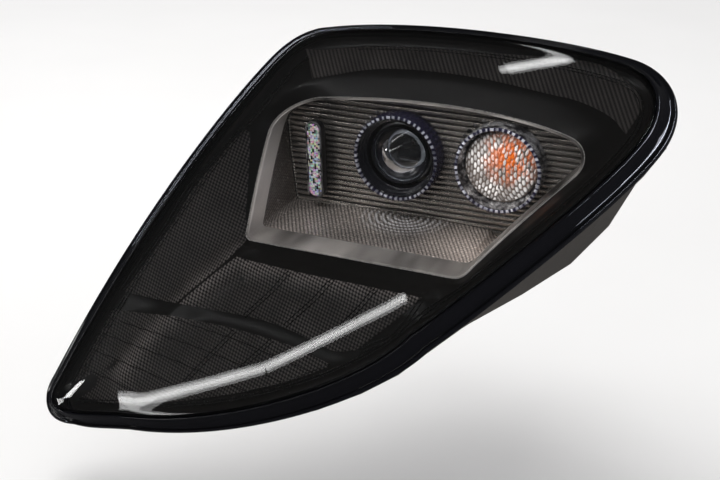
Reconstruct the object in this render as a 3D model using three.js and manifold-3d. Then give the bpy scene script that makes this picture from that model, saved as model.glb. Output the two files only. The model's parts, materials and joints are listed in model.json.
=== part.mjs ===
// Car headlight assembly, right-hand side of the viewer, millimetres, +Z up, lamp facing -Y.
// Everything is laid out around the lens datum, the middle of the raked lens face, and the whole
// lamp is then moved so that the origin is the bolting face of the upper bracket.
import * as THREE from 'three';
import { mergeVertices } from 'three/addons/utils/BufferGeometryUtils.js';
import Module from 'manifold-3d';

const wasm = await Module();
wasm.setup();

// ---- driving dimensions ----
const RAKE = THREE.MathUtils.degToRad(38);   // the lens face leans back by this much
const FACE_RADIUS_U = 1100;                  // the face curves across the car
const FACE_RADIUS_V = 900;                   // and up the wing
const GAP = 0.3;                             // clearance between pieces that touch
const RIM_DEPTH = 20;                        // rim, from the lens edge back to the flange
const DOME = 11;                             // bulge of the clear lens over its edge
const LENS_WALL = 2.6;
const BEZEL_WALL = 2.4;
const WINDOW_DEPTH = 30;                     // bezel opening, behind the lens edge
const TRIM_DEPTH = 27;                       // bright frame, front to back
const PANEL_Y = 116;                         // front of the fluted panel
const FLUTE_PITCH = 5.2;
const FLOOR_Z = -38;
const PROJECTOR = { x: -7, z: 24 };          // optical axis of the projector, along Y
const INDICATOR = { x: 86.5, z: 26.5 };      // axis of the turn signal
const DRL = { x: -86.5, z: 10.5, lean: THREE.MathUtils.degToRad(-1.6) }; // daytime light
const AIM_Y = 150;                           // both aiming axes cross the optical axis here
const LEVEL_ARM = 50;                        // levelling rod below the height axis
const LATERAL_ARM = 60;                      // adjuster rod beside the lateral axis
const BACK_Y = 232;                          // outside of the rear wall
const CAP = { x: -7, z: 33, r: 36 };         // service opening
const BRACKET = { x: 20, y: 196, z: 112 };   // centre of the upper bracket's bolting face

// ---- looks ----
function look(color, roughness, metalness = 0) {
  return new THREE.MeshStandardMaterial({ color, roughness, metalness });
}

const LOOKS = {
  clear: look(0xdfe6ea, 0.05),
  gloss: look(0x0b0c0f, 0.12),
  mask: look(0x1d1a17, 0.5),
  shell: look(0x4a4743, 0.65),
  chrome: look(0xb9b6b0, 0.2, 1),
  dark_chrome: look(0x6f6a63, 0.3, 1),
  rubber: look(0x161616, 0.9),
  alloy: look(0x9a9c9e, 0.45, 1),
  steel: look(0x8b8d90, 0.35, 1),
  amber: look(0xe8681a, 0.15),
  board: look(0x1d4a2c, 0.6),
  nylon: look(0xe4e1d6, 0.55),
  black: look(0x141414, 0.55),
};

const lamp = new THREE.Group();

function part(name, geometry, material) {
  const mesh = new THREE.Mesh(geometry, material);
  mesh.name = name;
  lamp.add(mesh);
  return mesh;
}

// ---- solids ----
function welded(geometry) {
  const bare = geometry.clone();
  bare.deleteAttribute('normal');
  bare.deleteAttribute('uv');
  return mergeVertices(bare, 1e-4);
}

function solid(geometry) {
  const bare = welded(geometry);
  const vertProperties = new Float32Array(bare.attributes.position.array);
  const triVerts = new Uint32Array(bare.index.array);
  return new wasm.Manifold(new wasm.Mesh({ numProp: 3, vertProperties, triVerts }));
}

function geometryOf(manifold) {
  const mesh = manifold.getMesh();
  const geometry = new THREE.BufferGeometry();
  const positions = new THREE.BufferAttribute(new Float32Array(mesh.vertProperties), 3);
  geometry.setAttribute('position', positions);
  geometry.setIndex(new THREE.BufferAttribute(new Uint32Array(mesh.triVerts), 1));
  return geometry;
}

function cut(geometry, tools) {
  let body = solid(geometry);
  for (const tool of tools) body = body.subtract(solid(tool));
  return geometryOf(body);
}

function join(geometries) {
  let body = solid(geometries[0]);
  for (const other of geometries.slice(1)) body = body.add(solid(other));
  return geometryOf(body);
}

function outward(points, faces) {
  let volume = 0;
  for (const [a, b, c] of faces) {
    volume += points[a].dot(new THREE.Vector3().crossVectors(points[b], points[c]));
  }
  const index = faces.flatMap(([a, b, c]) => (volume > 0 ? [a, b, c] : [a, c, b]));
  const geometry = new THREE.BufferGeometry().setFromPoints(points);
  geometry.setIndex(index);
  return geometry;
}

function bandFaces(startA, startB, count) {
  const faces = [];
  for (let i = 0; i < count; i += 1) {
    const j = (i + 1) % count;
    faces.push([startA + i, startA + j, startB + j], [startA + i, startB + j, startB + i]);
  }
  return faces;
}

// A skin through rings of points, closed at both ends by fans to a middle point.
function loft(rings, middles = []) {
  const count = rings[0].length;
  const points = rings.flat();
  const faces = [];
  for (let k = 0; k + 1 < rings.length; k += 1) {
    faces.push(...bandFaces(k * count, (k + 1) * count, count));
  }
  const ends = [rings[0], rings[rings.length - 1]];
  const starts = [0, (rings.length - 1) * count];
  ends.forEach((ring, side) => {
    const sum = ring.reduce((total, p) => total.add(p), new THREE.Vector3());
    const middle = middles[side] ?? sum.divideScalar(count);
    const tip = points.push(middle) - 1;
    for (let i = 0; i < count; i += 1) {
      const a = starts[side] + i;
      const b = starts[side] + ((i + 1) % count);
      faces.push(side === 0 ? [tip, b, a] : [tip, a, b]);
    }
  });
  return outward(points, faces);
}

// A frame: the rings are the corners of its section, carried round the opening.
function frame(rings) {
  const count = rings[0].length;
  const faces = [];
  for (let k = 0; k < rings.length; k += 1) {
    faces.push(...bandFaces(k * count, ((k + 1) % rings.length) * count, count));
  }
  return outward(rings.flat(), faces);
}

function box(xs, ys, zs) {
  const geometry = new THREE.BoxGeometry(xs[1] - xs[0], ys[1] - ys[0], zs[1] - zs[0]);
  return geometry.translate((xs[0] + xs[1]) / 2, (ys[0] + ys[1]) / 2, (zs[0] + zs[1]) / 2);
}

function rod(radius, ys, x, z, sides = 16) {
  const geometry = new THREE.CylinderGeometry(radius, radius, ys[1] - ys[0], sides);
  return geometry.translate(x, (ys[0] + ys[1]) / 2, z);
}

function crossRod(radius, xs, y, z, sides = 16) {
  const geometry = new THREE.CylinderGeometry(radius, radius, xs[1] - xs[0], sides);
  return geometry.rotateZ(Math.PI / 2).translate((xs[0] + xs[1]) / 2, y, z);
}

function post(radius, zs, x, y, sides = 16) {
  const geometry = new THREE.CylinderGeometry(radius, radius, zs[1] - zs[0], sides);
  return geometry.rotateX(Math.PI / 2).translate(x, y, (zs[0] + zs[1]) / 2);
}

// The profile of a plain ring: inner and outer radius, front and back.
function oblong(inner, outer, front, back) {
  return [[inner, front], [outer, front], [outer, back], [inner, back]];
}

// Turned pieces: the profile lists [radius, y] and spins round an axis along Y.
function turned(profile, centre, sides = 32) {
  const points = profile.map(([r, y]) => new THREE.Vector2(r, y));
  points.push(points[0].clone());
  const geometry = new THREE.LatheGeometry(points, sides).translate(centre.x, 0, centre.z);
  const bare = welded(geometry);
  return outward(pointsOf(bare), facesOf(bare));
}

function pointsOf(geometry) {
  const position = geometry.attributes.position;
  const points = [];
  for (let i = 0; i < position.count; i += 1) {
    points.push(new THREE.Vector3().fromBufferAttribute(position, i));
  }
  return points;
}

function facesOf(geometry) {
  const faces = [];
  const index = geometry.index.array;
  for (let i = 0; i < index.length; i += 3) {
    const [a, b, c] = [index[i], index[i + 1], index[i + 2]];
    if (a !== b && b !== c && c !== a) faces.push([a, b, c]);
  }
  return faces;
}

// A plate with rounded ends, standing in X and Z, for slots and light guides.
function stadium(width, height, ys, x, z, lean = 0) {
  const shape = new THREE.Shape();
  const half = height / 2 - width / 2;
  shape.absarc(0, half, width / 2, 0, Math.PI, false);
  shape.absarc(0, -half, width / 2, Math.PI, 2 * Math.PI, false);
  const settings = { depth: ys[1] - ys[0], bevelEnabled: false, curveSegments: 6 };
  const geometry = new THREE.ExtrudeGeometry(shape, settings);
  return geometry.rotateX(Math.PI / 2).rotateY(lean).translate(x, ys[1], z);
}

// ---- the lamp face ----
// u runs across, v up the rake and h out of the face; the face itself is gently domed.
function facePoint(u, v, h) {
  const height = h - u ** 2 / (2 * FACE_RADIUS_U) - v ** 2 / (2 * FACE_RADIUS_V);
  const y = v * Math.sin(RAKE) - height * Math.cos(RAKE);
  const z = v * Math.cos(RAKE) + height * Math.sin(RAKE);
  return new THREE.Vector3(u, y, z);
}

// Each stretch: two control points, the end point and how many steps it takes.
function outline(start, stretches, density = 1) {
  const points = [];
  let from = new THREE.Vector2(...start);
  for (const [c1, c2, end, steps] of stretches) {
    const to = new THREE.Vector2(...end);
    const curve = new THREE.CubicBezierCurve(from, new THREE.Vector2(...c1),
      new THREE.Vector2(...c2), to);
    points.push(...curve.getPoints(steps * density).slice(0, -1));
    from = to;
  }
  return points;
}

const LENS_START = [-92, 171];
const LENS_STRETCHES = [
  [[-35, 187], [120, 189], [178, 178], 6],      // along the bonnet
  [[206, 172], [216, 148], [209, 122], 5],      // upper outer corner
  [[198, 80], [114, -28], [62, -81], 6],        // down along the wheel arch
  [[30, -128], [-80, -186], [-189, -195], 7],
  [[-215, -198], [-235, -203], [-254, -203], 2],
  [[-270, -203], [-278, -196], [-269, -180], 5], // pointed corner
  [[-240, -115], [-165, 62], [-130, 128], 7],   // up along the bumper
  [[-120, 147], [-112, 163], [-92, 171], 3],
];

const WINDOW_START = [-108, -22];
const WINDOW_STRETCHES = [
  [[-40, -24], [30, -24], [76, -24], 4],        // sill
  [[84, -24], [88, -19], [92, -12], 2],
  [[110, 15], [136, 52], [156, 80], 3],         // slope beside the wheel arch
  [[164, 92], [160, 108], [146, 113], 4],
  [[100, 128], [0, 129], [-84, 118], 6],        // head
  [[-104, 113], [-123, 98], [-123, 80], 4],
  [[-122, 50], [-118, 10], [-116, -14], 3],     // inner jamb
  [[-116, -19], [-113, -22], [-108, -22], 2],
];

function normals(points) {
  return points.map((p, i) => {
    const before = points[(i + points.length - 1) % points.length];
    const after = points[(i + 1) % points.length];
    return new THREE.Vector2(before.y - after.y, after.x - before.x).normalize();
  });
}

const lensEdge = outline(LENS_START, LENS_STRETCHES);
const lensNormals = normals(lensEdge);
const windowEdge = outline(WINDOW_START, WINDOW_STRETCHES).reverse();
const windowNormals = normals(windowEdge);

// The rim is widest on the bumper flank and narrowest at the foot.
function rimWidth(normal) {
  return 11 + 1.5 * normal.y + 9 * Math.max(0, -normal.x) + 4.5 * Math.max(0, normal.x);
}

// A ring that follows the lens edge; out and deep may depend on the place.
function lensRing(out, deep) {
  return lensEdge.map((p, i) => {
    const n = lensNormals[i];
    const reach = typeof out === 'function' ? out(n, p) : out;
    const depth = typeof deep === 'function' ? deep(p, n) : deep;
    return facePoint(p.x + n.x * reach, p.y + n.y * reach, -depth);
  });
}

function windowRing(out, deep) {
  return windowEdge.map((p, i) => {
    const n = windowNormals[i];
    return facePoint(p.x + n.x * out, p.y + n.y * out, -deep);
  });
}

function pushedBack(ring, distance, limit) {
  return ring.map((p) => new THREE.Vector3(p.x, Math.min(p.y + distance, limit), p.z));
}

// ---- lens, rim and seal ----
const LENS_MIDDLE = new THREE.Vector2(-10, 10);

function lensSkin(scale, drop, inset) {
  return lensEdge.map((p, i) => {
    const edge = p.clone().addScaledVector(lensNormals[i], -inset);
    const q = edge.sub(LENS_MIDDLE).multiplyScalar(scale).add(LENS_MIDDLE);
    return facePoint(q.x, q.y, DOME * (1 - scale ** 2) - drop);
  });
}

function outerLens() {
  const scales = [0.35, 0.7, 0.9, 1];
  const outside = scales.map((s) => lensSkin(s, 0, GAP));
  const inside = scales.slice().reverse().map((s) => lensSkin(s, LENS_WALL, 3));
  const foot = [lensRing(-GAP, 25), lensRing(-3, 25)];
  const middle = LENS_MIDDLE;
  const tips = [DOME, DOME - LENS_WALL].map((h) => facePoint(middle.x, middle.y, h));
  return loft([...outside, ...foot, ...inside], tips);
}

function lensRim() {
  const section = [[0, 0], [0.22, 1.2], [0.4, 7], [0.58, 12.5], [0.82, 15.5], [1, 17.5],
    [1, RIM_DEPTH], [0.25, RIM_DEPTH], [0, 12]];
  return frame(section.map(([share, depth]) => lensRing((n) => 0.2 + rimWidth(n) * share, depth)));
}

function lensSeal() {
  const section = [[-4.2, 25.4], [0.6, 25.4], [0.6, 29], [-4.2, 29]];
  return frame(section.map(([out, depth]) => lensRing(out, depth)));
}

// ---- housing ----
const SHALLOW = 38;
const DEEP = 96;

// The shell is shallow under the pointed corner and deep behind the reflectors.
function shellDepth(point) {
  const along = point.x * 0.753 + point.y * 0.658;
  const lean = 26 * THREE.MathUtils.smoothstep(point.y, 60, 140);
  return SHALLOW + (DEEP - SHALLOW - lean) * THREE.MathUtils.smoothstep(along, 0, 150);
}

function shellInset(normal) {
  const side = 20 * THREE.MathUtils.smoothstep(normal.y, -0.62, -0.4);
  return 7 + side + 12 * THREE.MathUtils.smoothstep(normal.y, -0.2, 0.5);
}

// Outline in X and Z: slope cuts the lower right corner, chamfer the upper left one.
function tubOutline(xs, zs, slope, chamfer) {
  const shape = new THREE.Shape();
  shape.moveTo(xs[0], zs[0]);
  shape.lineTo(xs[1] - slope, zs[0]);
  shape.lineTo(xs[1], zs[0] + slope);
  shape.lineTo(xs[1], zs[1] - 10);
  shape.lineTo(xs[1] - 10, zs[1]);
  shape.lineTo(xs[0] + chamfer, zs[1]);
  shape.lineTo(xs[0], zs[1] - chamfer);
  return shape;
}

// A box that reaches from the back wall forward, at most to the given depth behind the face.
function tub(xs, ys, zs, slope, chamfer, depth) {
  const settings = { depth: ys[1] - ys[0], bevelEnabled: false };
  const geometry = new THREE.ExtrudeGeometry(tubOutline(xs, zs, slope, chamfer), settings);
  geometry.rotateX(Math.PI / 2).translate(0, ys[1], 0);
  const front = new THREE.BoxGeometry(900, 900, 900).translate(0, 450 + depth, 0).rotateX(-RAKE);
  return geometryOf(solid(geometry).intersect(solid(front)));
}

function housing() {
  const out = (n) => rimWidth(n) - 1.5;
  const outer = loft([
    lensRing(0, RIM_DEPTH + GAP),
    lensRing(out, RIM_DEPTH + GAP),
    lensRing(out, 26),
    lensRing((n) => rimWidth(n) - 5, 32),
    lensRing((n) => rimWidth(n) - shellInset(n), shellDepth),
  ], [undefined, facePoint(30, 40, -104)]);
  const inner = loft([
    lensRing(1, -60),
    lensRing(1, 29.4),
    lensRing(-4.5, 29.6),
    lensRing((n) => rimWidth(n) - shellInset(n) - 6, (p) => shellDepth(p) - 3),
  ], [undefined, facePoint(30, 40, -101)]);
  const collar = oblong(CAP.r, CAP.r + 3, BACK_Y - 2, BACK_Y + 8);
  const shell = join([
    outer,
    tub([-128, 60], [20, 132], [-48, 88], 8, 34, 42),
    tub([40, 168], [40, 132], [-48, 88], 64, 10, 62),
    tub([-76, 132], [125, 176], [-48, 88], 30, 10, 42),
    tub([-76, 67.5], [150, BACK_Y], [-48, 88], 8, 10, 42),
    turned(collar, CAP, 28),
  ]);
  return cut(shell, [
    inner,
    tub([-125, 57], [20, 129], [-45, 85], 6, 33, 38),
    tub([43, 165], [40, 129], [-45, 85], 63, 9, 58),
    tub([-73, 129], [122, 173], [-45, 85], 29, 9, 38),
    tub([-73, 64.5], [148, BACK_Y - 3], [-45, 85], 7, 9, 38),
    rod(CAP.r, [BACK_Y - 6, BACK_Y + 12], CAP.x, CAP.z, 28),
    rod(16.5, [168, 180], INDICATOR.x, INDICATOR.z, 20),
    rod(4, [BACK_Y - 6, BACK_Y + 2], PROJECTOR.x, PROJECTOR.z - LEVEL_ARM),
    rod(4, [BACK_Y - 6, BACK_Y + 2], PROJECTOR.x + LATERAL_ARM, PROJECTOR.z),
  ]);
}

// ---- bezel, bright frame and reflector box ----
function rayHit(points, centre, angle) {
  const ray = new THREE.Vector2(Math.cos(angle), Math.sin(angle));
  let best = null;
  points.forEach((a, i) => {
    const edge = points[(i + 1) % points.length].clone().sub(a);
    const gap = a.clone().sub(centre);
    const turn = ray.cross(edge);
    const far = gap.cross(edge) / turn;
    const along = gap.cross(ray) / turn;
    const onEdge = along > -1e-6 && along < 1 + 1e-6;
    if (far > 0 && onEdge) best = centre.clone().addScaledVector(ray, far);
  });
  return best;
}

const WINDOW_MIDDLE = new THREE.Vector2(20, 50);

function bezel() {
  const border = lensEdge.map((p, i) => p.clone().addScaledVector(lensNormals[i], -4.6));
  const hole = windowEdge.map((p, i) => p.clone().addScaledVector(windowNormals[i], 1.5 * GAP));
  const angleOf = (p) => p.clone().sub(WINDOW_MIDDLE).angle();
  const holeAngles = hole.map(angleOf);
  const clear = (angle) => holeAngles.every((other) => Math.abs(other - angle) > 0.03);
  const spokes = [...holeAngles, ...border.map(angleOf).filter(clear)].sort((a, b) => a - b);
  const stations = [[0, 9], [0.08, 15], [0.3, 17], [0.62, 21], [1, WINDOW_DEPTH]];
  const ringAt = (share, depth, lift) => spokes.map((angle) => {
    const from = rayHit(border, WINDOW_MIDDLE, angle);
    const to = rayHit(hole, WINDOW_MIDDLE, angle);
    const q = from.lerp(to, share);
    return facePoint(q.x, q.y + lift * share, -depth);
  });
  const front = stations.map(([share, depth]) => ringAt(share, depth, 0));
  // the wall of the opening runs straight back, along the bright frame
  const back = stations.map(([share, depth]) => ringAt(share, depth + BEZEL_WALL, 1.9)).reverse();
  return frame([...front, ...back]);
}

const TRAY_END = PANEL_Y - 1.8;
const TRIM_END = PANEL_Y - 5;

function windowTrim() {
  const outside = windowRing(-GAP, WINDOW_DEPTH - 0.5);
  const inside = windowRing(-2.4, WINDOW_DEPTH - 0.5);
  return frame([
    outside,
    inside,
    pushedBack(inside, TRIM_DEPTH, TRIM_END),
    pushedBack(outside, TRIM_DEPTH, TRIM_END),
  ]);
}

// The side beside the wheel arch flares out towards the panel.
function flared(ring) {
  return ring.map((p, i) => {
    const n = windowNormals[i];
    const flare = 9 * THREE.MathUtils.smoothstep((n.x - n.y) * Math.SQRT1_2, 0.8, 1);
    return new THREE.Vector3(p.x + n.x * flare, p.y, p.z + n.y * flare);
  });
}

function reflectorTray() {
  const outside = windowRing(-GAP, WINDOW_DEPTH);
  const inside = windowRing(-2.2, WINDOW_DEPTH);
  const atEnd = (ring) => flared(ring).map((p) => new THREE.Vector3(p.x, TRAY_END, p.z));
  return frame([
    pushedBack(outside, TRIM_DEPTH + 1, TRIM_END + 1),
    pushedBack(inside, TRIM_DEPTH + 1, TRIM_END + 1),
    atEnd(inside),
    atEnd(outside),
  ]);
}

// Half-round flutes run across the panel.
function flutedBlank() {
  const count = 23;
  const shape = new THREE.Shape();
  const bottom = FLOOR_Z - 6;
  shape.moveTo(PANEL_Y + 3, bottom);
  for (let i = 0; i < count; i += 1) {
    for (const [share, depth] of [[0, 0], [0.33, 1.3], [0.67, 1.3]]) {
      shape.lineTo(PANEL_Y - depth, bottom + (i + share) * FLUTE_PITCH);
    }
  }
  shape.lineTo(PANEL_Y, bottom + count * FLUTE_PITCH);
  shape.lineTo(PANEL_Y + 3, bottom + count * FLUTE_PITCH);
  const geometry = new THREE.ExtrudeGeometry(shape, { depth: 300, bevelEnabled: false });
  // shape x is lamp Y, shape y is lamp Z and the depth runs along X
  const turn = new THREE.Matrix4().set(0, 0, 1, -130, 1, 0, 0, 0, 0, 1, 0, 0, 0, 0, 0, 1);
  return geometry.applyMatrix4(turn);
}

function reflectorPanel() {
  const ring = flared(windowRing(-GAP, WINDOW_DEPTH));
  const atY = (y) => ring.map((p) => new THREE.Vector3(p.x, y, p.z));
  const prism = loft([atY(PANEL_Y - 5), atY(PANEL_Y + 6)]);
  const sheet = solid(flutedBlank()).intersect(solid(prism));
  return cut(geometryOf(sheet), [
    rod(36.2, [100, 125], PROJECTOR.x, PROJECTOR.z, 32),
    rod(34.2, [100, 125], INDICATOR.x, INDICATOR.z, 32),
    stadium(7, 60, [100, 125], DRL.x, DRL.z, DRL.lean),
  ]);
}

// ---- daytime light ----
function daytimeLight() {
  const { x, z, lean } = DRL;
  part('drl_light_guide', stadium(12.4, 70, [97, 102.5], x, z, lean), LOOKS.clear);
  const rimShape = stadium(15.6, 74, [98.5, 106], x, z, lean);
  const bore = stadium(13, 70.6, [90, 103.2], x, z, lean);
  const stem = stadium(6.4, 58, [105, 121], x, z, lean);
  part('drl_carrier', cut(join([rimShape, stem]), [bore]), LOOKS.black);
  part('drl_board', stadium(14, 66, [121.3, 123], x, z, lean), LOOKS.board);
}

// ---- projector surround and turn signal ----
function surround() {
  const ring = [[36.3, 94.5], [38.6, 94], [39.6, 95.5], [39.6, PANEL_Y - 1.7], [36.3, PANEL_Y - 1.7]];
  part('clear_ring', turned(ring, PROJECTOR, 32), LOOKS.clear);
  const shroud = [[34.6, 96], [35.9, 96], [35.9, 121], [31.2, 121], [31.2, 106], [32.8, 106],
    [32.8, 101], [34.6, 101]];
  part('projector_shroud', turned(shroud, PROJECTOR, 28), LOOKS.black);
}

function turnSignal() {
  const bowl = [[37.4, 95], [39, 95], [39, PANEL_Y - 1.7], [33.9, PANEL_Y - 1.7], [33.9, PANEL_Y + 1],
    [27, 132], [15.5, 144], [12.6, 144], [12.6, 142], [23, 130], [31, 114], [35.4, 100]];
  part('turn_bowl', turned(bowl, INDICATOR, 28), LOOKS.chrome);
  const dome = [[0, 97.5], [14, 98.6], [25, 101.6], [32.4, 105.6], [31.2, 107.6], [24, 104.2],
    [13.6, 101.4], [0, 100.3]];
  part('turn_inner_lens', turnedSolid(dome, INDICATOR, 24), LOOKS.clear);
  const glass = [[0, 114], [6.5, 116], [9.4, 121.5], [8.4, 127.5], [5.5, 133], [5.5, 141], [0, 141]];
  part('turn_bulb', turnedSolid(glass, INDICATOR, 20), LOOKS.amber);
  const holder = [[0, 141.4], [11.4, 141.4], [11.4, 147], [14.6, 147], [14.6, 184], [0, 184]];
  const grip = box([INDICATOR.x - 12, INDICATOR.x + 12], [183, 192], [INDICATOR.z - 3, INDICATOR.z + 3]);
  part('turn_bulb_holder', join([turnedSolid(holder, INDICATOR, 24), grip]), LOOKS.black);
  part('turn_holder_seal', turned(oblong(15, 18.4, 176.4, 179), INDICATOR, 24), LOOKS.rubber);
}

// A turned piece that reaches its own axis at both ends of the profile.
function turnedSolid(profile, centre, sides = 32) {
  const points = profile.map(([r, y]) => new THREE.Vector2(r, y));
  const geometry = new THREE.LatheGeometry(points, sides).translate(centre.x, 0, centre.z);
  const bare = welded(geometry);
  return outward(pointsOf(bare), facesOf(bare));
}

// ---- projector ----
function lensDome() {
  const radius = 30;
  const steps = 6;
  const profile = [];
  for (let i = 0; i <= steps; i += 1) {
    const r = (24 * i) / steps;
    profile.push([r, 97 + radius - Math.sqrt(radius ** 2 - r ** 2)]);
  }
  return [...profile, [25, 109], [25, 111], [0, 111]];
}

const SHUTTER = { y: AIM_Y, z: PROJECTOR.z - 24 };
const TRUNNION = { from: 40, to: 51.7, r: 3 };

function projectorBody() {
  const outside = [[21, 111.3], [24.9, 111.3], [24.9, 113.4], [28.2, 113.4], [28.2, 117], [27.6, 118],
    [31, 138], [37, 156], [37, 165], [42, 165], [42, 169], [38, 169], [36, 185], [28, 203], [16, 213],
    [14, 213], [14, 226]];
  const inner = [[11.5, 226], [11.5, 211], [25, 200], [33.5, 184], [34.4, 168], [34.4, 156], [28.4, 138],
    [25, 118], [21, 116]];
  const shell = turned([...outside, ...inner], PROJECTOR, 24);
  const { x, z } = PROJECTOR;
  const bosses = [-1, 1].map((side) => {
    const xs = [x + side * 33.5, x + side * 44].sort((a, b) => a - b);
    return crossRod(7, xs, AIM_Y, z);
  });
  const bores = [-1, 1].map((side) => {
    const xs = [x + side * 38, x + side * 46].sort((a, b) => a - b);
    return crossRod(TRUNNION.r + 0.1, xs, AIM_Y, z);
  });
  const shaftBore = crossRod(1.9, [x - 40, x + 40], SHUTTER.y, SHUTTER.z, 12);
  const inside = turnedSolid([[0, 138], [28.4, 138], [34.4, 156], [0, 156]], PROJECTOR, 24);
  return cut(join([shell, ...bosses]), [inside, ...bores, shaftBore]);
}

function projector() {
  const { x, z } = PROJECTOR;
  part('projector_lens', turnedSolid(lensDome(), PROJECTOR, 28), LOOKS.clear);
  const retainer = [[23.4, 105.8], [27.2, 105.8], [27.2, 113], [25.3, 113], [25.3, 108.4],
    [23.4, 107.6]];
  part('lens_retainer', turned(retainer, PROJECTOR, 28), LOOKS.alloy);
  part('projector_body', projectorBody(), LOOKS.alloy);
  const arm = box([x - 8, x + 8], [158.5, 164.7], [z - 59, z - 34]);
  const pocket = rod(6.6, [150, 170], x, z - LEVEL_ARM);
  part('level_arm', cut(arm, [pocket, rod(37.6, [150, 170], x, z, 24)]), LOOKS.nylon);
  const base = [[0, 215], [8, 215], [8, 226.4], [13.4, 226.4], [13.4, 229], [10, 229], [10, 239],
    [0, 239]];
  part('burner_base', turnedSolid(base, PROJECTOR, 20), LOOKS.nylon);
  const capsule = [[0, 176], [2.2, 177], [2.6, 186], [5, 191], [5, 197], [2.6, 202], [3.6, 214.7],
    [0, 214.7]];
  part('burner_capsule', turnedSolid(capsule, PROJECTOR, 16), LOOKS.clear);
  const ring = [[13.8, 226.4], [19, 226.4], [19, 231.6], [11, 231.6], [11, 229.4], [13.8, 229.4]];
  const lugAt = (middle) => box([middle - 3, middle + 3], [227, 231], [z - 3, z + 3]);
  const lugs = [lugAt(x - 19), lugAt(x + 19)];
  part('bulb_ring', join([turned(ring, PROJECTOR, 24), ...lugs]), LOOKS.black);
}

function shutter() {
  const { x, z } = PROJECTOR;
  const { y: pivotY, z: pivotZ } = SHUTTER;
  const blade = box([x - 19, x + 19], [pivotY - 0.6, pivotY + 0.6], [pivotZ - 1, pivotZ + 20]);
  const step = box([x + 2, x + 20], [pivotY - 2, pivotY + 2], [pivotZ + 18.5, pivotZ + 22]);
  const slot = crossRod(1.8, [x - 25, x + 25], pivotY, pivotZ, 12);
  part('shutter_flap', cut(blade, [step, slot]), LOOKS.black);
  const shaft = crossRod(1.5, [x - 33, x + 33], pivotY, pivotZ, 12);
  const crankYs = [pivotY - 1.5, pivotY + 1.5];
  const crank = box([x + 31.5, x + 34], crankYs, [pivotZ - 14, pivotZ + 2.4]);
  part('shutter_shaft', join([shaft, crank]), LOOKS.steel);
  const coil = { x: x + 32.7, z: pivotZ - 12, half: 9 };
  const coilXs = [coil.x - coil.half, coil.x + coil.half];
  const can = box(coilXs, [127, 141], [coil.z - coil.half, coil.z + coil.half]);
  part('solenoid', cut(can, [rod(3.4, [130, 145], coil.x, coil.z)]), LOOKS.black);
  const core = rod(3, [131, 143.5], coil.x, coil.z);
  const tip = rod(1.2, [143, 147], coil.x, coil.z, 10);
  part('solenoid_plunger', join([core, tip]), LOOKS.steel);
}

// ---- carrier that lets the projector aim ----
function carrier() {
  const { x, z } = PROJECTOR;
  const half = 52;
  const ys = [AIM_Y - 4, AIM_Y + 4];
  const bar = 6;
  const slab = box([x - half, x + half], ys, [z - half, z + half]);
  const hole = box([x - half + bar, x + half - bar], [130, 170], [z - half + bar, z + half - bar]);
  const lug = box([x + half - 2, x + LATERAL_ARM + 9], ys, [z - 9, z + 9]);
  const pocket = rod(6.4, [130, 170], x + LATERAL_ARM, z);
  const pinHoles = [
    crossRod(TRUNNION.r + 0.1, [x - 60, x - 40], AIM_Y, z),
    crossRod(TRUNNION.r + 0.1, [x + 40, x + 52.5], AIM_Y, z),
    post(TRUNNION.r + 0.1, [z - 60, z - 40], x, AIM_Y),
    post(TRUNNION.r + 0.1, [z + 40, z + 60], x, AIM_Y),
  ];
  part('carrier_frame', cut(join([slab, lug]), [hole, pocket, ...pinHoles]), LOOKS.nylon);
  const { from, to, r } = TRUNNION;
  part('trunnion_pin_left', crossRod(r, [x - to, x - from], AIM_Y, z), LOOKS.steel);
  part('trunnion_pin_right', crossRod(r, [x + from, x + to], AIM_Y, z), LOOKS.steel);
  part('pivot_pin_upper', post(TRUNNION.r, [z + 46.4, z + 60.2], x, AIM_Y), LOOKS.steel);
  part('pivot_pin_lower', post(TRUNNION.r, [z - 68.2, z - 46.4], x, AIM_Y), LOOKS.steel);
  const seatHole = post(TRUNNION.r + 0.1, [z - 100, z + 100], x, AIM_Y);
  const upper = box([x - 9, x + 9], [AIM_Y - 9, AIM_Y + 9], [z + 53.5, 84.7]);
  const lower = box([x - 9, x + 9], [AIM_Y - 9, AIM_Y + 9], [-44.7, z - 61.5]);
  part('pivot_seat_upper', cut(upper, [seatHole]), LOOKS.nylon);
  part('pivot_seat_lower', cut(lower, [seatHole]), LOOKS.nylon);
}

function ballRod(ballY, endY, x, z) {
  const ball = new THREE.SphereGeometry(5, 12, 8).translate(x, ballY, z);
  return join([ball, rod(2.5, [ballY + 2, endY], x, z, 12)]);
}

function adjusters() {
  const { x, z } = PROJECTOR;
  const levelZ = z - LEVEL_ARM;
  part('leveller_rod', ballRod(162.5, 252, x, levelZ), LOOKS.nylon);
  const motorCase = join([
    box([x - 23, x + 23], [BACK_Y + 1.3, 262], [levelZ - 20, levelZ + 12]),
    rod(11, [261, 270], x - 8, levelZ - 4, 20),
  ]);
  part('levelling_motor', cut(motorCase, [rod(3, [BACK_Y - 5, 256], x, levelZ)]), LOOKS.black);
  const gasket = box([x - 20, x + 20], [BACK_Y + 0.2, BACK_Y + 1], [levelZ - 17, levelZ + 9]);
  part('motor_gasket', cut(gasket, [rod(5, [BACK_Y - 5, 256], x, levelZ)]), LOOKS.rubber);
  const sideX = x + LATERAL_ARM;
  part('lateral_rod', ballRod(AIM_Y, 256, sideX, z), LOOKS.nylon);
  const nut = oblong(3, 10, BACK_Y + 0.3, BACK_Y + 13);
  part('lateral_nut', turned(nut, { x: sideX, z }, 20), LOOKS.nylon);
  const knob = oblong(3, 9, BACK_Y + 13.3, BACK_Y + 24);
  part('lateral_screw', turned(knob, { x: sideX, z }, 10), LOOKS.nylon);
}

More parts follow.
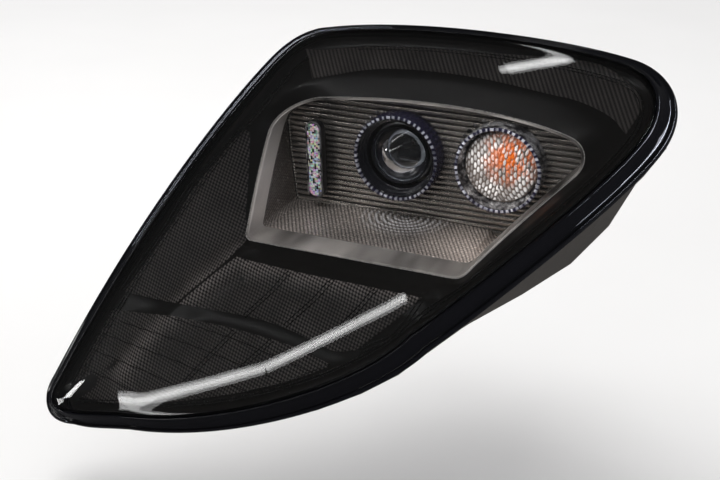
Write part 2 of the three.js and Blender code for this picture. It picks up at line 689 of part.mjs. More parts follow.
// ---- service cap ----
function serviceCap() {
  const seal = oblong(CAP.r + 0.4, CAP.r + 5, BACK_Y + 8.3, BACK_Y + 11);
  part('cap_seal', turned(seal, CAP, 28), LOOKS.rubber);
  const skirt = [CAP.r + 5.4, CAP.r + 8];
  const shell = [[0, BACK_Y + 11.4], [skirt[0], BACK_Y + 11.4], [skirt[0], BACK_Y + 3],
    [skirt[1], BACK_Y + 3], [skirt[1], BACK_Y + 13], [CAP.r + 5, BACK_Y + 15], [0, BACK_Y + 15]];
  const grip = box([CAP.x - 30, CAP.x + 30], [BACK_Y + 14, BACK_Y + 24], [CAP.z - 4, CAP.z + 4]);
  part('rear_cap', join([turnedSolid(shell, CAP, 28), grip]), LOOKS.black);
}

// ---- outside of the housing ----
function mountings() {
  const { x, y, z } = BRACKET;
  const foot = box([x - 28, x + 28], [y - 18, y + 18], [88.3, 92]);
  const web = box([x - 4, x + 4], [y - 18, y + 18], [91, z - 3]);
  const ledge = box([x - 28, x + 28], [y - 18, y + 18], [z - 4, z]);
  const bolt = post(5.3, [z - 20, z + 5], x + 17, y);
  part('upper_bracket', cut(join([foot, web, ledge]), [bolt]), LOOKS.steel);
  part('upper_bush', bush(x + 17, y, z - 4.4, z), LOOKS.steel);
  const lowZ = -64;
  const hanger = join([
    box([30, 70], [170, 206], [-52, -48.3]),
    box([46, 54], [170, 206], [lowZ + 3, -51]),
    box([30, 78], [170, 206], [lowZ, lowZ + 4]),
  ]);
  part('lower_bracket', cut(hanger, [post(5.3, [lowZ - 10, lowZ + 10], 69, 188)]), LOOKS.steel);
  part('lower_bush', bush(69, 188, lowZ, lowZ + 4.4), LOOKS.steel);
  const tab = join([
    box([-84, -76.3], [170, 206], [-20, 40]),
    box([-112, -83], [188, 192], [-20, 40]),
  ]);
  part('inner_bracket', cut(tab, [rod(5.3, [180, 200], -101, 26)]), LOOKS.steel);
  part('inner_bush', turned(oblong(3.3, 5, 187.6, 192), { x: -101, z: 26 }, 20), LOOKS.steel);
}

function bush(x, y, z0, z1) {
  const sleeve = post(5, [z0, z1], x, y, 16);
  return cut(sleeve, [post(3.3, [z0 - 5, z1 + 5], x, y, 16)]);
}

function ballast() {
  const top = -48.4;
  part('ballast_case', box([-66, 22], [160, 226], [top - 20, top]), LOOKS.alloy);
  part('ballast_cover', box([-62, 18], [164, 222], [top - 23.5, top - 20.4]), LOOKS.black);
  const corners = [[-56, 170], [12, 170], [-56, 216], [12, 216]];
  corners.forEach(([x, y], i) => {
    part(`ballast_screw_${i + 1}`, post(3.4, [top - 26, top - 23.9], x, y, 12), LOOKS.steel);
  });
}

function connector() {
  const x = -59;
  const z = 72;
  const bodyBlock = box([x - 15, x + 15], [BACK_Y + 0.3, BACK_Y + 24], [z - 11, z + 11]);
  const hollow = box([x - 12, x + 12], [BACK_Y + 6, BACK_Y + 30], [z - 8, z + 8]);
  const pins = [];
  for (let i = 0; i < 6; i += 1) {
    const pinX = x - 7.5 + (i % 3) * 7.5;
    const pinZ = z - 6 + Math.floor(i / 3) * 12;
    pins.push(box([pinX - 1, pinX + 1], [BACK_Y + 5, BACK_Y + 16], [pinZ - 0.5, pinZ + 0.5]));
  }
  part('connector_socket', join([cut(bodyBlock, [hollow]), ...pins]), LOOKS.black);
  const cap = [[0, BACK_Y + 0.3], [9, BACK_Y + 0.3], [9, BACK_Y + 8], [7, BACK_Y + 10],
    [0, BACK_Y + 10]];
  part('vent_cap', turnedSolid(cap, { x: 56, z: 66 }, 20), LOOKS.rubber);
}

part('outer_lens', outerLens(), LOOKS.clear);
part('lens_rim', lensRim(), LOOKS.gloss);
part('lens_seal', lensSeal(), LOOKS.rubber);
part('housing', housing(), LOOKS.shell);
part('bezel', bezel(), LOOKS.mask);
part('window_trim', windowTrim(), LOOKS.chrome);
part('reflector_tray', reflectorTray(), LOOKS.dark_chrome);
part('reflector_panel', reflectorPanel(), LOOKS.dark_chrome);
daytimeLight();
surround();
turnSignal();
projector();
shutter();
carrier();
adjusters();
serviceCap();
mountings();
ballast();
connector();

lamp.position.set(-BRACKET.x, -BRACKET.y, -BRACKET.z);
lamp.updateMatrixWorld(true);

export default lamp;
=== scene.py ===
import json
import math

import bmesh
import bpy
import numpy as np
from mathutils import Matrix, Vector

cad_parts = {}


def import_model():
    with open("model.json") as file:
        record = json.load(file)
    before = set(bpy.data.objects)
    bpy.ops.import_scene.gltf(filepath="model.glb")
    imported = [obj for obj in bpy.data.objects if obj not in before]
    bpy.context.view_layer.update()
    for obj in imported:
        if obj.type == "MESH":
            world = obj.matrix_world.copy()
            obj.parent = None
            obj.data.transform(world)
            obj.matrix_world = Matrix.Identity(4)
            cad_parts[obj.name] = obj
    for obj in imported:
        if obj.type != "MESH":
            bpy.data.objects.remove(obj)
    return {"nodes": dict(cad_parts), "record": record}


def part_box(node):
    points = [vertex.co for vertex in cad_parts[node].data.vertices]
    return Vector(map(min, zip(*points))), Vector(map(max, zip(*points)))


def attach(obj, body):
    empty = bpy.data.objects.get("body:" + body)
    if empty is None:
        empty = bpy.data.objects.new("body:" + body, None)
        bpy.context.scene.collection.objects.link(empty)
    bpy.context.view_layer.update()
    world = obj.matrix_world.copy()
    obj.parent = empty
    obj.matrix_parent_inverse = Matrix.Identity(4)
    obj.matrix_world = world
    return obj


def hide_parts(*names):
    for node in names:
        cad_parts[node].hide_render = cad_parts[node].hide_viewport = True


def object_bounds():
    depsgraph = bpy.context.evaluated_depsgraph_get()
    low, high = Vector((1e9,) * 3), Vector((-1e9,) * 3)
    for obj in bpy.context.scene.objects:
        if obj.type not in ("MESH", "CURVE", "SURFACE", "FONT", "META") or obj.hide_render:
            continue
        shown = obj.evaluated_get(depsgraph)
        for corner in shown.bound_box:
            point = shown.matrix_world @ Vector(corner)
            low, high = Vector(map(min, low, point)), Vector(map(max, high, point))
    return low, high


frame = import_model()
CAD_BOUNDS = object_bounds()
MM = 0.001

# ---- the lamp's own frame: millimetres, Y back, the face raked about X ----
RAKE = math.radians(38)
FACE_RADIUS_U, FACE_RADIUS_V = 1100.0, 900.0
DOME, LENS_WALL, RIM_DEPTH = 11.0, 2.6, 20.0
WINDOW_DEPTH, TRIM_DEPTH, PANEL_Y = 30.0, 27.0, 116.0
TRIM_END, TRAY_END = PANEL_Y - 5.0, PANEL_Y - 1.8
FLUTE_PITCH, FLOOR_Z = 5.2, -38.0
PROJECTOR, INDICATOR = (-7.0, 24.0), (86.5, 26.5)
LENS_FRONT_Y = 97.0

# outlines in the face plane: Bezier stretches with two handles, an end and a number of steps
LENS_STRETCHES = [
    ((-35, 187), (120, 189), (178, 178), 6),
    ((206, 172), (216, 148), (209, 122), 5),
    ((198, 80), (114, -28), (62, -81), 6),
    ((30, -128), (-80, -186), (-189, -195), 7),
    ((-215, -198), (-235, -203), (-254, -203), 2),
    ((-270, -203), (-278, -196), (-269, -180), 5),
    ((-240, -115), (-165, 62), (-130, 128), 7),
    ((-120, 147), (-112, 163), (-92, 171), 3),
]
WINDOW_STRETCHES = [
    ((-40, -24), (30, -24), (76, -24), 4),
    ((84, -24), (88, -19), (92, -12), 2),
    ((110, 15), (136, 52), (156, 80), 3),
    ((164, 92), (160, 108), (146, 113), 4),
    ((100, 128), (0, 129), (-84, 118), 6),
    ((-104, 113), (-123, 98), (-123, 80), 4),
    ((-122, 50), (-118, 10), (-116, -14), 3),
    ((-116, -19), (-113, -22), (-108, -22), 2),
]


def lamp_origin():
    """Where the lamp's own frame starts, from the place of the projector lens."""
    low, high = (np.array(corner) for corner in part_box("projector_lens"))
    middle = (low + high) / 2
    lens = np.array([PROJECTOR[0], LENS_FRONT_Y, PROJECTOR[1]]) * MM
    return np.array([middle[0], low[1], middle[2]]) - lens


ORIGIN = lamp_origin()


def to_row(points):
    return np.asarray(points, float) * MM + ORIGIN


def smoothstep(x, low, high):
    t = np.clip((np.asarray(x, float) - low) / (high - low), 0, 1)
    return t * t * (3 - 2 * t)


def face_point(u, v, h):
    u, v, h = np.broadcast_arrays(np.asarray(u, float), v, h)
    height = h - u ** 2 / (2 * FACE_RADIUS_U) - v ** 2 / (2 * FACE_RADIUS_V)
    y = v * math.sin(RAKE) - height * math.cos(RAKE)
    z = v * math.cos(RAKE) + height * math.sin(RAKE)
    return np.stack([u, y, z], axis=-1)


def outline(stretches, density):
    points, a = [], np.array(stretches[-1][2], float)
    for c1, c2, end, steps in stretches:
        c1, c2, d = (np.array(p, float) for p in (c1, c2, end))
        t = np.linspace(0, 1, steps * density, endpoint=False)[:, None]
        points.append((1 - t) ** 3 * a + 3 * (1 - t) ** 2 * t * c1 + 3 * (1 - t) * t ** 2 * c2 + t ** 3 * d)
        a = d
    return np.vstack(points)


def sideways(along):
    """Unit vectors to the left of each step."""
    return np.stack([-along[:, 1], along[:, 0]], 1) / np.linalg.norm(along, axis=1)[:, None]


def outward_normals(points, sign):
    return sideways(np.roll(points, -1, 0) - np.roll(points, 1, 0)) * sign


def travelled(line):
    """Length along a polyline at its points."""
    return np.concatenate([[0], np.cumsum(np.linalg.norm(np.diff(line, axis=0), axis=1))])


def spaced(line, count, endpoint=True):
    """Points at equal steps along a polyline."""
    length = travelled(line)
    at = np.linspace(0, length[-1], count, endpoint=endpoint)
    return np.stack([np.interp(at, length, line[:, k]) for k in range(line.shape[1])], 1)


def evenly(points, step, closed=True):
    loop = np.vstack([points, points[:1]]) if closed else np.asarray(points, float)
    return spaced(loop, max(2, int(round(travelled(loop)[-1] / step))), not closed)


EDGE = outline(LENS_STRETCHES, 6)
EDGE_OUT = outward_normals(EDGE, 1)
WINDOW = outline(WINDOW_STRETCHES, 8)
WINDOW_OUT = outward_normals(WINDOW, -1)


def rim_width(n):
    return 11 + 1.5 * n[:, 1] + 9 * np.maximum(0, -n[:, 0]) + 4.5 * np.maximum(0, n[:, 0])


def window_ring(out, deep, points=WINDOW, normals=WINDOW_OUT):
    """A loop outside an edge and behind the face, by those distances."""
    q = points + normals * np.reshape(out, (-1, 1))
    return face_point(*q.T, -deep)


def lens_ring(out, deep):
    return window_ring(out, deep, EDGE, EDGE_OUT)


# ---- meshes ----
def placed(name, data):
    obj = bpy.data.objects.new(name, data)
    bpy.context.scene.collection.objects.link(obj)
    return obj


def solid(name, points, faces, relief=None):
    """A new object with its faces outward. Relief is a number that each point carries; some finishes paint
    light and shade from it.
    """
    mesh = bpy.data.meshes.new(name)
    mesh.from_pydata([tuple(p) for p in to_row(points)], [], [tuple(int(i) for i in f) for f in faces])
    if relief is not None:
        mesh.attributes.new("relief", "FLOAT", "POINT").data.foreach_set("value", np.ravel(relief))
    bm = bmesh.new()
    bm.from_mesh(mesh)
    if relief is None:
        bmesh.ops.remove_doubles(bm, verts=bm.verts, dist=1e-7)
    bmesh.ops.recalc_face_normals(bm, faces=bm.faces)
    bm.to_mesh(mesh)
    bm.free()
    return placed(name, mesh)


def make(name, shape, look, body="housing", replaces=None, angle=None, relief=None, smooth=True):
    """A visible piece. Its smooth shading breaks at edges sharper than the angle."""
    obj = solid(name, *shape, relief)
    for polygon in obj.data.polygons:
        polygon.use_smooth = smooth
    if angle is not None:
        obj.data.set_sharp_from_angle(angle=math.radians(angle))
    obj.data.materials.append(look)
    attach(obj, body)
    if replaces:
        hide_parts(replaces)
    return obj


def grid_faces(rows, cols, wrap_rows=False, wrap_cols=False):
    faces = []
    for i in range(rows if wrap_rows else rows - 1):
        for j in range(cols if wrap_cols else cols - 1):
            here, below, right = i * cols, (i + 1) % rows * cols, (j + 1) % cols
            faces.append((here + j, here + right, below + right, below + j))
    return faces


def hoop(rings):
    """A closed ring: the sections join round, and the last joins the first."""
    rings = np.asarray(rings)
    return rings.reshape(-1, 3), grid_faces(rings.shape[0], rings.shape[1], True, True)


def skin(rings, tip_first, tip_last):
    """A closed form through rings, with a point at each end."""
    rings = np.asarray(rings)
    rows, cols = rings.shape[:2]
    first, end = rows * cols, (rows - 1) * cols
    faces = grid_faces(rows, cols, False, True)
    faces += [(j, (j + 1) % cols, first) for j in range(cols)]
    faces += [(end + j, end + (j + 1) % cols, first + 1) for j in range(cols)]
    return np.vstack([rings.reshape(-1, 3), tip_first, tip_last]), faces


def slab(front, back):
    """A sheet between two grids of points, closed round its edge."""
    front, back = np.asarray(front), np.asarray(back)
    rows, cols = front.shape[:2]
    count = rows * cols
    faces = grid_faces(rows, cols)
    faces += [tuple(i + count for i in f[::-1]) for f in faces]
    edge = [*range(cols), *(i * cols + cols - 1 for i in range(1, rows)),
            *((rows - 1) * cols + j for j in range(cols - 2, -1, -1)),
            *(i * cols for i in range(rows - 2, 0, -1))]
    faces += [(a, b, b + count, a + count) for a, b in zip(edge, edge[1:] + edge[:1])]
    return np.vstack([front.reshape(-1, 3), back.reshape(-1, 3)]), faces


def full_turn(sides):
    return np.linspace(0, 2 * math.pi, sides, endpoint=False)


def circle(centre, radius, angles):
    return np.stack([centre[0] + radius * np.cos(angles), centre[1] + radius * np.sin(angles)], 1)


def at_depth(loop, y):
    """A loop of x and z, placed at a depth."""
    return np.stack([loop[:, 0], np.full(len(loop), y, float), loop[:, 1]], 1)


def ring_at(centre, radius, angles, y):
    return at_depth(circle(centre, radius, angles), y)


def turned(profile, centre, sides):
    """A body of revolution about Y. A profile with r = 0 at both ends closes on its axis."""
    closed = profile[0][0] == 0 and profile[-1][0] == 0
    inner = profile[1:-1] if closed else profile
    rings = [ring_at(centre, r, full_turn(sides), y) for r, y in inner]
    if not closed:
        return hoop(rings)
    return skin(rings, *(at_depth(np.array([centre]), profile[k][1]) for k in (0, -1)))


def joined(parts):
    points, faces, start = [], [], 0
    for p, f in parts:
        points.append(np.asarray(p))
        faces += [tuple(i + start for i in face) for face in f]
        start += len(p)
    return np.vstack(points), faces


# ---- materials ----
LOOKS = {}    # every material of the lamp by its name


def material(name):
    mat = LOOKS[name] = bpy.data.materials.new(name)
    mat.use_nodes = True
    tree = mat.node_tree
    return mat, tree, tree.nodes["Principled BSDF"]


def fill(tree, made, ports):
    """An output is linked to its port; a number or a colour is set on it."""
    for port, value in ports.items():
        socket = made.inputs[port]
        if isinstance(value, bpy.types.NodeSocket):
            tree.links.new(value, socket)
        else:
            socket.default_value = (*value, 1) if socket.type == "RGBA" else value


def node(tree, kind, ports=None, **settings):
    made = tree.nodes.new(kind)
    for key, value in settings.items():
        setattr(made, key, value)
    fill(tree, made, ports or {})
    return made


def object_coords(tree, stretch=(1, 1, 1)):
    coords = node(tree, "ShaderNodeTexCoord").outputs["Object"]
    return node(tree, "ShaderNodeMapping", {"Scale": stretch, "Vector": coords}).outputs["Vector"]


def noise(tree, vector, scale, detail=3.0, roughness=0.55):
    ports = {"Vector": vector, "Scale": scale, "Detail": detail, "Roughness": roughness}
    return node(tree, "ShaderNodeTexNoise", ports).outputs["Fac"]


def ranged(tree, value, low, high, start=0.3, end=0.7):
    """The stretch from start to end becomes low to high."""
    ports = {"Value": value, "From Min": start, "From Max": end, "To Min": low, "To Max": high}
    return node(tree, "ShaderNodeMapRange", ports).outputs["Result"]


def mixed(tree, factor, first, second):
    """From the first colour at 0 to the second at 1."""
    return node(tree, "ShaderNodeMix", {"Factor": factor, 6: first, 7: second}, data_type="RGBA").outputs[2]


def maths(tree, operation, first, second):
    return node(tree, "ShaderNodeMath", {0: first, 1: second}, operation=operation).outputs[0]


def bumped(tree, height, strength, distance, shader):
    bump = node(tree, "ShaderNodeBump", {"Height": height, "Strength": strength, "Distance": distance})
    fill(tree, shader, {"Normal": bump.outputs["Normal"]})


def finish(name, paint, rough, metallic, patch, grain, bump, depth=0.0002, stretch=(1, 1, 1), specular=0.5,
           coat=0.0, coat_rough=0.05):
    """An opaque finish with grain in gloss and relief. Paint gives its colour from a broad noise."""
    mat, tree, shader = material(name)
    vector = object_coords(tree, stretch)
    fine = noise(tree, vector, grain, 4.0, 0.6)
    fill(tree, shader, {
        "Base Color": paint(tree, noise(tree, vector, patch)), "Roughness": ranged(tree, fine, *rough),
        "Metallic": metallic, "Specular IOR Level": specular,
        "Coat Weight": coat, "Coat Roughness": coat_rough,
    })
    if bump:
        bumped(tree, fine, bump, depth, shader)
    return mat


def surface(name, dark, light, rough, metallic=0.0, patch=60, grain=900, bump=0.15, swing=(0.0, 1.0), **more):
    """A finish mottled between two near colours."""
    def paint(tree, broad):
        return mixed(tree, ranged(tree, broad, 0.0, 1.0, *swing), dark, light)
    return finish(name, paint, rough, metallic, patch, grain, bump, **more)


def painted_light_finish(name, low, high, rough, metallic, patch=20, grain=900, height=None, swing=(0.6, 1.15), painted_glow=None,
           **more):
    """A finish that paints shade into its hollows and light onto its ridges, from a level that runs from 0 in
    a hollow to 1 on a crest.
    """
    def paint(tree, broad):
        if height:
            crest = height(tree)
        else:
            crest = node(tree, "ShaderNodeAttribute", attribute_name="relief").outputs["Fac"]
        lift = maths(tree, "MULTIPLY", crest, ranged(tree, broad, *swing))
        colour = mixed(tree, lift, low, high)
        # any extra painted reflection is laid over the painted light and shade here
        return painted_glow(tree, colour, crest) if painted_glow else colour
    return finish(name, paint, rough, metallic, patch, grain, 0.05, **more)


def flute_height(tree):
    """0 between two flutes and 1 on a crest; it sets the fluted panel's painted shade and light. It is
    counted from 100 flutes below the floor.
    """
    pitch = FLUTE_PITCH * MM
    z = node(tree, "ShaderNodeSeparateXYZ", {0: object_coords(tree)}).outputs[2]
    above = maths(tree, "SUBTRACT", z, float(FLOOR_Z * MM + ORIGIN[2] - 100 * pitch))
    return ranged(tree, maths(tree, "PINGPONG", above, pitch / 2), 0.0, 1.0, 0.0, pitch / 2)


def around(tree, point, near, far):
    """The distance from a point of the lamp, and a level that falls from 1 to 0, in millimetres."""
    ports = {0: object_coords(tree), 1: tuple(float(c) for c in to_row(point))}
    away = node(tree, "ShaderNodeVectorMath", ports, operation="DISTANCE").outputs["Value"]
    return away, ranged(tree, away, 1.0, 0.0, near * MM, far * MM)


def painted_ring_reflections(tree, colour, crest):
    """Painted reflections: bright arcs on the tray floor under the projector's ring, and a painted warm
    highlight at its outer corner.
    """
    away, near = around(tree, (PROJECTOR[0] + 6, 108, FLOOR_Z + 2), 20, 46)
    half = ARC_PITCH * MM / 2
    band = ranged(tree, maths(tree, "PINGPONG", away, half), 0.0, 1.0, 0.3 * half, 0.8 * half)
    level = maths(tree, "MULTIPLY", maths(tree, "MULTIPLY", band, near), crest)
    arcs = mixed(tree, level, colour, (1.0, 0.98, 1.0))
    corner = around(tree, (80, 66, FLOOR_Z), 8, 62)[1]
    return mixed(tree, maths(tree, "MULTIPLY", corner, crest), arcs, (1.0, 0.84, 0.74))


def painted_amber_glow(tree, colour, _crest):
    """Painted light: the amber bulb's shine painted into the prisms as orange streaks."""
    near = around(tree, (INDICATOR[0] + 11, 99, INDICATOR[1] + 12), 6, 31)[1]
    streaks = noise(tree, object_coords(tree, (1, 1, 0.3)), 260.0, 2.0)
    level = maths(tree, "MULTIPLY", near, ranged(tree, streaks, 0.0, 1.0, 0.43, 0.55))
    return mixed(tree, level, colour, (0.62, 0.13, 0.015))


def clear(name, tint, ior, rough, ripple=0.0, through=(0.95, 0.96, 0.97)):
    """Clear plastic or glass that lets lamps shine through to what is behind it."""
    mat, tree, shader = material(name)
    vector = object_coords(tree)
    gloss = ranged(tree, noise(tree, vector, 14.0, 2.0), *rough, 0.45, 0.8)
    fill(tree, shader, {"Base Color": tint, "Transmission Weight": 1.0, "IOR": ior, "Roughness": gloss})
    if ripple:
        bumped(tree, noise(tree, vector, 14.0, 1.0), ripple, 0.001, shader)
    shadow = node(tree, "ShaderNodeLightPath").outputs["Is Shadow Ray"]
    open_way = node(tree, "ShaderNodeBsdfTransparent", {"Color": through})
    mix = node(tree, "ShaderNodeMixShader", {0: shadow, 1: shader.outputs[0], 2: open_way.outputs[0]})
    fill(tree, tree.nodes["Material Output"], {"Surface": mix.outputs[0]})
    return mat


ARC_PITCH = 6.0
CLEAR_LENS = clear("clear_lens", (1, 1, 1), 1.49, (0.0, 0.008), 0.03)
clear("clear_optic", (0.97, 0.98, 1.0), 1.49, (0.0, 0.02))
COATED_GLASS = clear("coated_glass", (0.93, 0.95, 1.0), 1.56, (0.0, 0.01))
# Opaque prisms: painted light on each crest, brighter on some prisms than others, with the amber bulb's
# painted shine near the bulb.
PRISM_GLASS = painted_light_finish(
    "prism_glass", (0.13, 0.105, 0.09), (1.0, 0.97, 0.95), (0.1, 0.2), 0.3,
    patch=60, swing=(0.3, 1.5), painted_glow=painted_amber_glow)
# Opaque ring: painted highlights on the fronts of its teeth.
RING_GLASS = painted_light_finish(
    "ring_glass", (0.02, 0.018, 0.04), (0.82, 0.82, 0.88), (0.06, 0.14), 0.6,
    patch=70, swing=(0.0, 1.9))
AMBER_GLASS = clear("amber_glass", (1.0, 0.3, 0.03), 1.5, (0.02, 0.08), through=(1.0, 0.5, 0.12))
GLOSS_BLACK = surface(
    "gloss_black", (0.003, 0.003, 0.0038), (0.0045, 0.0045, 0.006), (0.05, 0.09),
    patch=20, grain=300, bump=0.02, coat=0.6, coat_rough=0.03)
MASK_BLACK = surface(
    "mask_black", (0.003, 0.0024, 0.002), (0.0045, 0.0037, 0.003), (0.3, 0.38),
    patch=24, grain=1800, bump=0.08, specular=0.3)
# Painted shade in the weave's hollows and painted light along the mask's creases.
MASK_FIELD = painted_light_finish(
    "mask_field", (0.0004, 0.0004, 0.0003), (0.32, 0.28, 0.26), (0.36, 0.46), 0.0,
    patch=26, grain=1500, specular=0.3)
SEAM_BLACK = surface(
    "seam_black", (0.004, 0.0034, 0.003), (0.009, 0.0078, 0.007), (0.2, 0.3),
    patch=50, bump=0.05, specular=0.6)
SHELL_GREY = surface(
    "shell_grey", (0.07, 0.064, 0.056), (0.095, 0.087, 0.077), (0.42, 0.56),
    patch=18, grain=1400, bump=0.35, depth=0.0003)
BLACK_PLASTIC = surface(
    "black_plastic", (0.012, 0.012, 0.013), (0.022, 0.022, 0.023), (0.25, 0.38),
    patch=40, grain=1300, bump=0.2)
SHROUD_BLACK = surface(
    "shroud_black", (0.003, 0.003, 0.004), (0.006, 0.006, 0.008), (0.1, 0.16),
    grain=1500, bump=0.04, coat=0.5)
# Painted reflections: the broad mottle from near black to bright paints the trim's reflection bands, and the
# bright colour at half metal paints light onto its walls.
TRIM_CHROME = surface(
    "trim_chrome", (0.03, 0.027, 0.024), (0.66, 0.605, 0.56), (0.36, 0.46), 0.5,
    patch=15, grain=60, bump=0.0, stretch=(1, 0.3, 0.6), swing=(0.38, 0.62))
# Painted highlight: a light colour at half metal paints a bright line round the window.
TRIM_LIP = surface(
    "trim_lip", (0.34, 0.32, 0.3), (0.62, 0.59, 0.56), (0.22, 0.34), 0.5,
    patch=40, grain=700, bump=0.05)
BOWL_CHROME = surface(
    "bowl_chrome", (0.03, 0.027, 0.03), (0.46, 0.45, 0.45), (0.06, 0.12), 0.85,
    patch=90, grain=400, bump=0.02, swing=(0.42, 0.62))
# Painted shade in the valleys between the flutes and painted light along each flute's crest.
DARK_CHROME = painted_light_finish(
    "dark_chrome", (0.006, 0.0054, 0.005), (0.52, 0.475, 0.43), (0.14, 0.22), 0.8,
    patch=16, grain=600, height=flute_height)
BEAD_CHROME = surface(
    "bead_chrome", (0.3, 0.28, 0.25), (0.5, 0.47, 0.43), (0.14, 0.2), 0.85,
    patch=18, grain=600, bump=0.03)
# Painted shade in the knurl's hollows, painted light on its ridges, and painted reflections of the
# projector's ring.
TRAY_CHROME = painted_light_finish(
    "tray_chrome", (0.004, 0.0036, 0.0034), (0.44, 0.385, 0.35), (0.2, 0.3), 0.6,
    patch=14, grain=600, painted_glow=painted_ring_reflections)
surface("rubber", (0.012, 0.012, 0.012), (0.022, 0.022, 0.022), (0.55, 0.7), grain=1500, bump=0.3)
surface("alloy", (0.34, 0.345, 0.35), (0.46, 0.465, 0.47), (0.34, 0.5), 0.7, grain=1600, bump=0.4)
surface(
    "steel", (0.42, 0.42, 0.43), (0.56, 0.56, 0.57), (0.26, 0.4), 0.65,
    patch=50, bump=0.12, stretch=(1, 0.15, 1))
surface("nylon", (0.56, 0.54, 0.48), (0.66, 0.64, 0.58), (0.38, 0.5), patch=40, bump=0.1)
surface("board", (0.006, 0.05, 0.02), (0.012, 0.08, 0.035), (0.3, 0.45), patch=120)


def painted_glint_guide():
    """The light guide's pillow optics with painted glints: each cell gets its own painted tint and
    brightness, in place of the coloured glints its optics throw back.
    """
    mat, tree, shader = material("light_guide")
    ports = {"Vector": object_coords(tree), "Scale": 560.0, "Randomness": 0.2}
    cells = node(tree, "ShaderNodeTexVoronoi", ports).outputs
    split = node(tree, "ShaderNodeSeparateColor", {"Color": cells["Color"]}, mode="HSV").outputs
    depth, value = ranged(tree, split[1], 0.0, 0.6, 0.35, 1.0), ranged(tree, split[2], 0.01, 1.0, 0.5, 0.85)
    back = node(tree, "ShaderNodeCombineColor", {0: split[0], 1: depth, 2: value}, mode="HSV")
    gloss = ranged(tree, cells["Distance"], 0.08, 0.3, 0.0, 0.6)
    fill(tree, shader, {"Base Color": back.outputs[0], "Metallic": 0.4, "Roughness": gloss})
    bumped(tree, cells["Distance"], 0.5, 0.0006, shader)
    return mat


LIGHT_GUIDE = painted_glint_guide()
# slots that wear a material of another name
BY_SLOT = {"clear": "clear_optic", "chrome": "bowl_chrome", "dark_chrome": "bead_chrome"}
for row in frame["record"]["subparts"]:
    shown = frame["nodes"][row["node"]].data.materials
    shown.clear()
    shown.append(LOOKS[BY_SLOT.get(row["material_slot"], row["material_slot"])])

# ---- clear lens ----
LENS_MIDDLE = np.array([-10.0, 10.0])


def lens_skin(scale, drop, inset):
    q = (EDGE - EDGE_OUT * inset - LENS_MIDDLE) * scale + LENS_MIDDLE
    return face_point(*q.T, DOME * (1 - scale ** 2) - drop)


def outer_lens():
    scales = np.concatenate([[0.06], np.linspace(0.15, 0.97, 16)])
    outside = [lens_skin(s, 0, 0.3) for s in scales]
    brow = [lens_skin(1.0, 0.0, 1.5), lens_skin(1.0, 0.15, 0.9), lens_skin(1.0, 0.5, 0.5)]
    foot = [lens_ring(-0.3, 1.1), lens_ring(-0.3, 24.9), lens_ring(-3.0, 24.9)]
    inside = [lens_skin(s, LENS_WALL, 3) for s in scales[::-1]]
    tips = [face_point(*LENS_MIDDLE, DOME)[None], face_point(*LENS_MIDDLE, DOME - LENS_WALL)[None]]
    shape = skin([*outside, *brow, *foot, lens_skin(1.0, LENS_WALL, 3), *inside], *tips)
    make("clear_lens", shape, CLEAR_LENS, replaces="outer_lens", angle=50)


def lens_rim():
    # a rounded lip beside the lens, a valley, and a second lip on the flange
    section = [
        (0.0, 1.35), (0.02, 0.95), (0.05, 0.65), (0.09, 0.6), (0.13, 0.75), (0.16, 1.2), (0.19, 1.9),
        (0.25, 3.4), (0.34, 6.4), (0.44, 9.4), (0.54, 11.8), (0.63, 13.3), (0.71, 14.0), (0.77, 13.9),
        (0.81, 13.5), (0.85, 13.35), (0.885, 13.6), (0.91, 14.2), (0.93, 15.2), (0.95, 16.8),
        (0.962, 18.4), (0.962, RIM_DEPTH - 0.2), (0.25, RIM_DEPTH - 0.2), (0.0, 12),
    ]
    width = rim_width(EDGE_OUT)
    shape = hoop([lens_ring(0.15 + width * share, depth) for share, depth in section])
    make("gloss_rim", shape, GLOSS_BLACK, replaces="lens_rim", angle=40)


outer_lens()
lens_rim()

# ---- mask behind the lens ----
WINDOW_MIDDLE = np.array([20.0, 50.0])


def polar(points):
    off = points - WINDOW_MIDDLE
    angle = np.arctan2(off[:, 1], off[:, 0])
    order = np.argsort(angle)
    return angle[order], np.linalg.norm(off, axis=1)[order]


MASK_BORDER = polar(EDGE - EDGE_OUT * 4.6)
MASK_HOLE = polar(WINDOW + WINDOW_OUT * 0.45)


def radius_at(curve, angle):
    return np.interp(angle, *curve, period=2 * math.pi)


def segment_distance(u, v, path):
    """Distance to a polyline in the face plane, and which side: positive is to its left."""
    best, side = np.full(np.shape(u), 1e9), np.zeros(np.shape(u))
    for (au, av), (bu, bv) in zip(path, path[1:]):
        du, dv = bu - au, bv - av
        t = np.clip(((u - au) * du + (v - av) * dv) / (du * du + dv * dv), 0, 1)
        far = np.hypot(u - au - t * du, v - av - t * dv)
        side = np.where(far < best, np.sign(du * (v - av) - dv * (u - au)), side)
        best = np.minimum(best, far)
    return best, side


def crease(u, v, path, width):
    """1 on a crease of the mask, falling away over its width."""
    return np.exp(-(segment_distance(u, v, path)[0] / width) ** 2)


# creases and steps of the mask, in the face plane
RIDGE = [(-112, -40), (-147, -81), (-177, -118), (-201, -158)]
BROW_FOLD = [(-106, -46), (-43, -48), (3, -49), (62, -49)]
LEDGE = [(-236, -95), (-166, -96), (-124, -94), (-83, -95), (-44, -100), (-7, -109), (20, -112)]
# how deep the mask lies, from its border at 0 to the window at 1
STATIONS = ([0, 0.08, 0.3, 0.62, 1.0], [9, 15, 17, 21, WINDOW_DEPTH])


